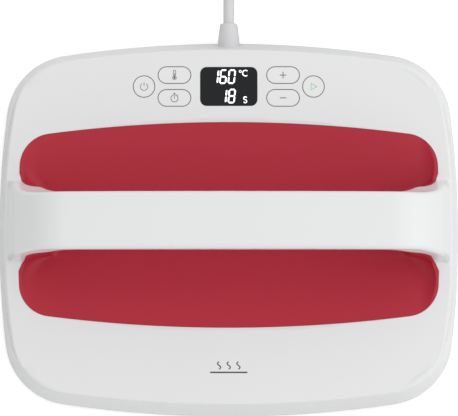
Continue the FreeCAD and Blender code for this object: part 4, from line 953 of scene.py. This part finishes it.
MATERIALS = {
    "white_shell": moulded("white_shell", WHITE, 0.3, 0.012, 0.012, Coat_Weight=0.2, Coat_Roughness=0.12),
    "red_liner": moulded("red_liner", RED, 0.5, 0.05, 0.04, Specular_IOR_Level=0.35),
    "button_white": moulded("button_white", scaled(WHITE, 1.02), 0.32, 0.01, 0.01),
    "window_black": moulded("window_black", (0.004, 0.006, 0.008), 0.12, 0.0, 0.05, Specular_IOR_Level=0.22),
    "coated_plate": coated("coated_plate", (0.035, 0.035, 0.037)),
    "steel": metal("steel", (0.62, 0.62, 0.63), 0.3, (1, 1, 6)),
    "sheet_metal": metal("sheet_metal", (0.75, 0.76, 0.77), 0.35, (12, 1, 1)),
    "nickel_pins": metal("nickel_pins", (0.74, 0.72, 0.68), 0.2, (1, 8, 8), 0.02),
    "contact_brass": metal("contact_brass", (0.78, 0.58, 0.28), 0.3, (1, 8, 1)),
    "ceramic_white": moulded("ceramic_white", (0.8, 0.78, 0.72), 0.6, 0.12, 0.05),
    "felt": felt("felt", (0.68, 0.65, 0.58)),
    "board_green": circuit("board_green", (0.02, 0.16, 0.07)),
    "component_black": moulded("component_black", (0.03, 0.03, 0.033), 0.45, 0.08, 0.1),
    "component_blue": moulded("component_blue", (0.04, 0.13, 0.38), 0.35, 0.04, 0.05),
    "capacitor_sleeve": moulded("capacitor_sleeve", (0.05, 0.06, 0.15), 0.3, 0.03, 0.08),
    "terminal_green": moulded("terminal_green", (0.08, 0.36, 0.16), 0.45, 0.06, 0.06),
    "lcd_glass": moulded("lcd_glass", (0.04, 0.045, 0.05), 0.12, 0.0, 0.05, Coat_Weight=0.8),
    "light_diffuser": moulded("light_diffuser", (0.8, 0.86, 0.8), 0.4, 0.02, 0.03, Subsurface_Weight=0.2),
    "switch_black": moulded("switch_black", (0.05, 0.05, 0.05), 0.5, 0.06, 0.08),
    "wire_silicone": moulded("wire_silicone", (0.5, 0.06, 0.05), 0.5, 0.05, 0.05),
    "wire_mains": moulded("wire_mains", (0.08, 0.18, 0.5), 0.45, 0.04, 0.05),
    "wire_earth": moulded("wire_earth", (0.36, 0.55, 0.1), 0.45, 0.04, 0.05),
    "ribbon_grey": moulded("ribbon_grey", (0.55, 0.55, 0.57), 0.5, 0.05, 0.04),
    "cord_white": moulded("cord_white", (0.63, 0.63, 0.64), 0.42, 0.08, 0.02, Sheen_Weight=0.1),
    "plug_white": moulded("plug_white", (0.74, 0.74, 0.75), 0.45, 0.1, 0.02),
}
PRINT_GREY = moulded("print_grey", (0.06, 0.062, 0.066), 0.5, 0.02, 0.05)
PRINT_LIGHT = moulded("print_light", (0.3, 0.3, 0.31), 0.5, 0.02, 0.05)
PRINT_GREEN = moulded("print_green", (0.03, 0.5, 0.12), 0.45, 0.02, 0.05)
# the button rings' dark grey is painted shade: it stands in for the shadow in the gaps round the buttons
GAP_SHADE_GREY = moulded("gap_shade_grey", (0.07, 0.072, 0.076), 0.5, 0.02, 0.05)
LIT_WHITE = glowing("lit_white", (0.9, 0.93, 0.95), 0.9)


def paint(made, material):
    made.data.materials.clear()
    made.data.materials.append(material)


def paint_cad():
    """Each CAD node takes the procedural material of its slot in the record."""
    for part in frame["record"]["subparts"]:
        node = frame["nodes"][part["node"]]
        material = MATERIALS[part["material_slot"]]
        if not node.material_slots:
            node.data.materials.append(material)
        for place in node.material_slots:
            place.material = material


# ---------------------------------------------------------------- pieces
def place_casing():
    """The casing and linings stand in for three CAD nodes."""
    block, lining, grip = build_casing()
    for made, node, slot in (
        (block, "top_shell", "white_shell"),
        (lining, "hand_well", "red_liner"),
        (grip, "handle_grip", "red_liner"),
    ):
        paint(made, MATERIALS[slot])
        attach(made, ROOT)
        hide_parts(node)


def place_panel():
    """Rings of painted gap shade stay with the body, symbols ride on their keys."""
    for name in BUTTONS:
        outer = button_loop(name, BUTTON_GAP + RING - RING_SLACK)
        inner = button_loop(name, 0.12)
        ring = ring_patch(name + "_ring", outer, inner, -0.02, 0.9)
        # painted shade: the dark ring darkens the gap round the button
        paint(ring, GAP_SHADE_GREY)
        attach(ring, ROOT)
        x, y, _, _ = button_box(name)
        symbol = skin_patch(name + "_symbol", SYMBOLS[name](x, y), 0.05, 0.09)
        paint(symbol, {"start": PRINT_GREEN, "power": PRINT_LIGHT}.get(name, PRINT_GREY))
        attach(symbol, name + "_key")
    figures = skin_patch("display_figures", display_figures(), 0.04, 0.08)
    paint(figures, LIT_WHITE)
    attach(figures, ROOT)
    mark = skin_patch("heat_mark", heat_mark(), 0.05, 0.1)
    paint(mark, PRINT_GREY)
    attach(mark, ROOT)


# ---------------------------------------------------------------- studio
def floor():
    """A plain pale floor."""
    size, level = 4000, -0.3
    corners = [(-size, -size, level), (size, -size, level), (size, size, level), (-size, size, level)]
    made = new_object("floor", corners, [(0, 1, 2, 3)])
    m = Nodes("floor_pale")
    m.tint(m.noise(3.0, 2.0), (0.81, 0.81, 0.81), (0.83, 0.83, 0.83))
    m.shader.inputs["Emission Color"].default_value = (1, 1, 1, 1)
    # only the camera sees the extra glow, so the floor looks white without lighting the walls from below
    seen = m.add("ShaderNodeLightPath").outputs["Is Camera Ray"]
    m.link(m.remap(seen, 0.0, 0.42), m.shader.inputs["Emission Strength"])
    m.set(Roughness=0.9)
    paint(made, m.material)


def soft_light(name, place, target, size, power):
    lamp = bpy.data.lights.new(name, "AREA")
    lamp.shape = "RECTANGLE"
    lamp.size, lamp.size_y = size
    lamp.energy = power
    made = bpy.data.objects.new(name, lamp)
    bpy.context.scene.collection.objects.link(made)
    made.location = place
    made.rotation_euler = (Vector(target) - Vector(place)).to_track_quat("-Z", "Y").to_euler()


def studio():
    """Even light from all round, stronger from the right and from above, and one soft lamp on the right."""
    world = bpy.data.worlds.new("studio")
    world.use_nodes = True
    tree = world.node_tree
    tree.nodes["Background"].inputs["Color"].default_value = (1, 1, 1, 1)
    direction = tree.nodes.new("ShaderNodeTexCoord")
    lean = tree.nodes.new("ShaderNodeVectorMath")
    lean.operation = "DOT_PRODUCT"
    lean.inputs[1].default_value = (0.36, 0.06, 0.3)
    tree.links.new(direction.outputs["Generated"], lean.inputs[0])
    level = tree.nodes.new("ShaderNodeMath")
    level.operation = "ADD"
    level.inputs[1].default_value = 0.8
    tree.links.new(lean.outputs["Value"], level.inputs[0])
    tree.links.new(level.outputs["Value"], tree.nodes["Background"].inputs["Strength"])
    bpy.context.scene.world = world
    soft_light("right", (1.7, 0.3, 1.3), (0, 0, 0.05), (1.0, 1.4), 1.5)


def camera():
    """Looks almost straight down, from a little in front of the press, with a long lens."""
    lean = math.radians(4.2)
    distance, frame_width = 1850.0, 340.6
    target = Vector((0.17, 16.2, 8.0))
    data = bpy.data.cameras.new("camera")
    data.sensor_width = 36
    data.lens = data.sensor_width * distance / frame_width
    data.clip_start, data.clip_end = 0.05, 20
    made = bpy.data.objects.new("camera", data)
    bpy.context.scene.collection.objects.link(made)
    made.location = (target + distance * Vector((0, -math.sin(lean), math.cos(lean)))) * MM
    made.rotation_euler = (lean, 0, 0)
    bpy.context.scene.camera = made


paint_cad()
place_casing()
place_panel()
floor()
studio()
camera()
bpy.context.scene.view_settings.view_transform = "Standard"
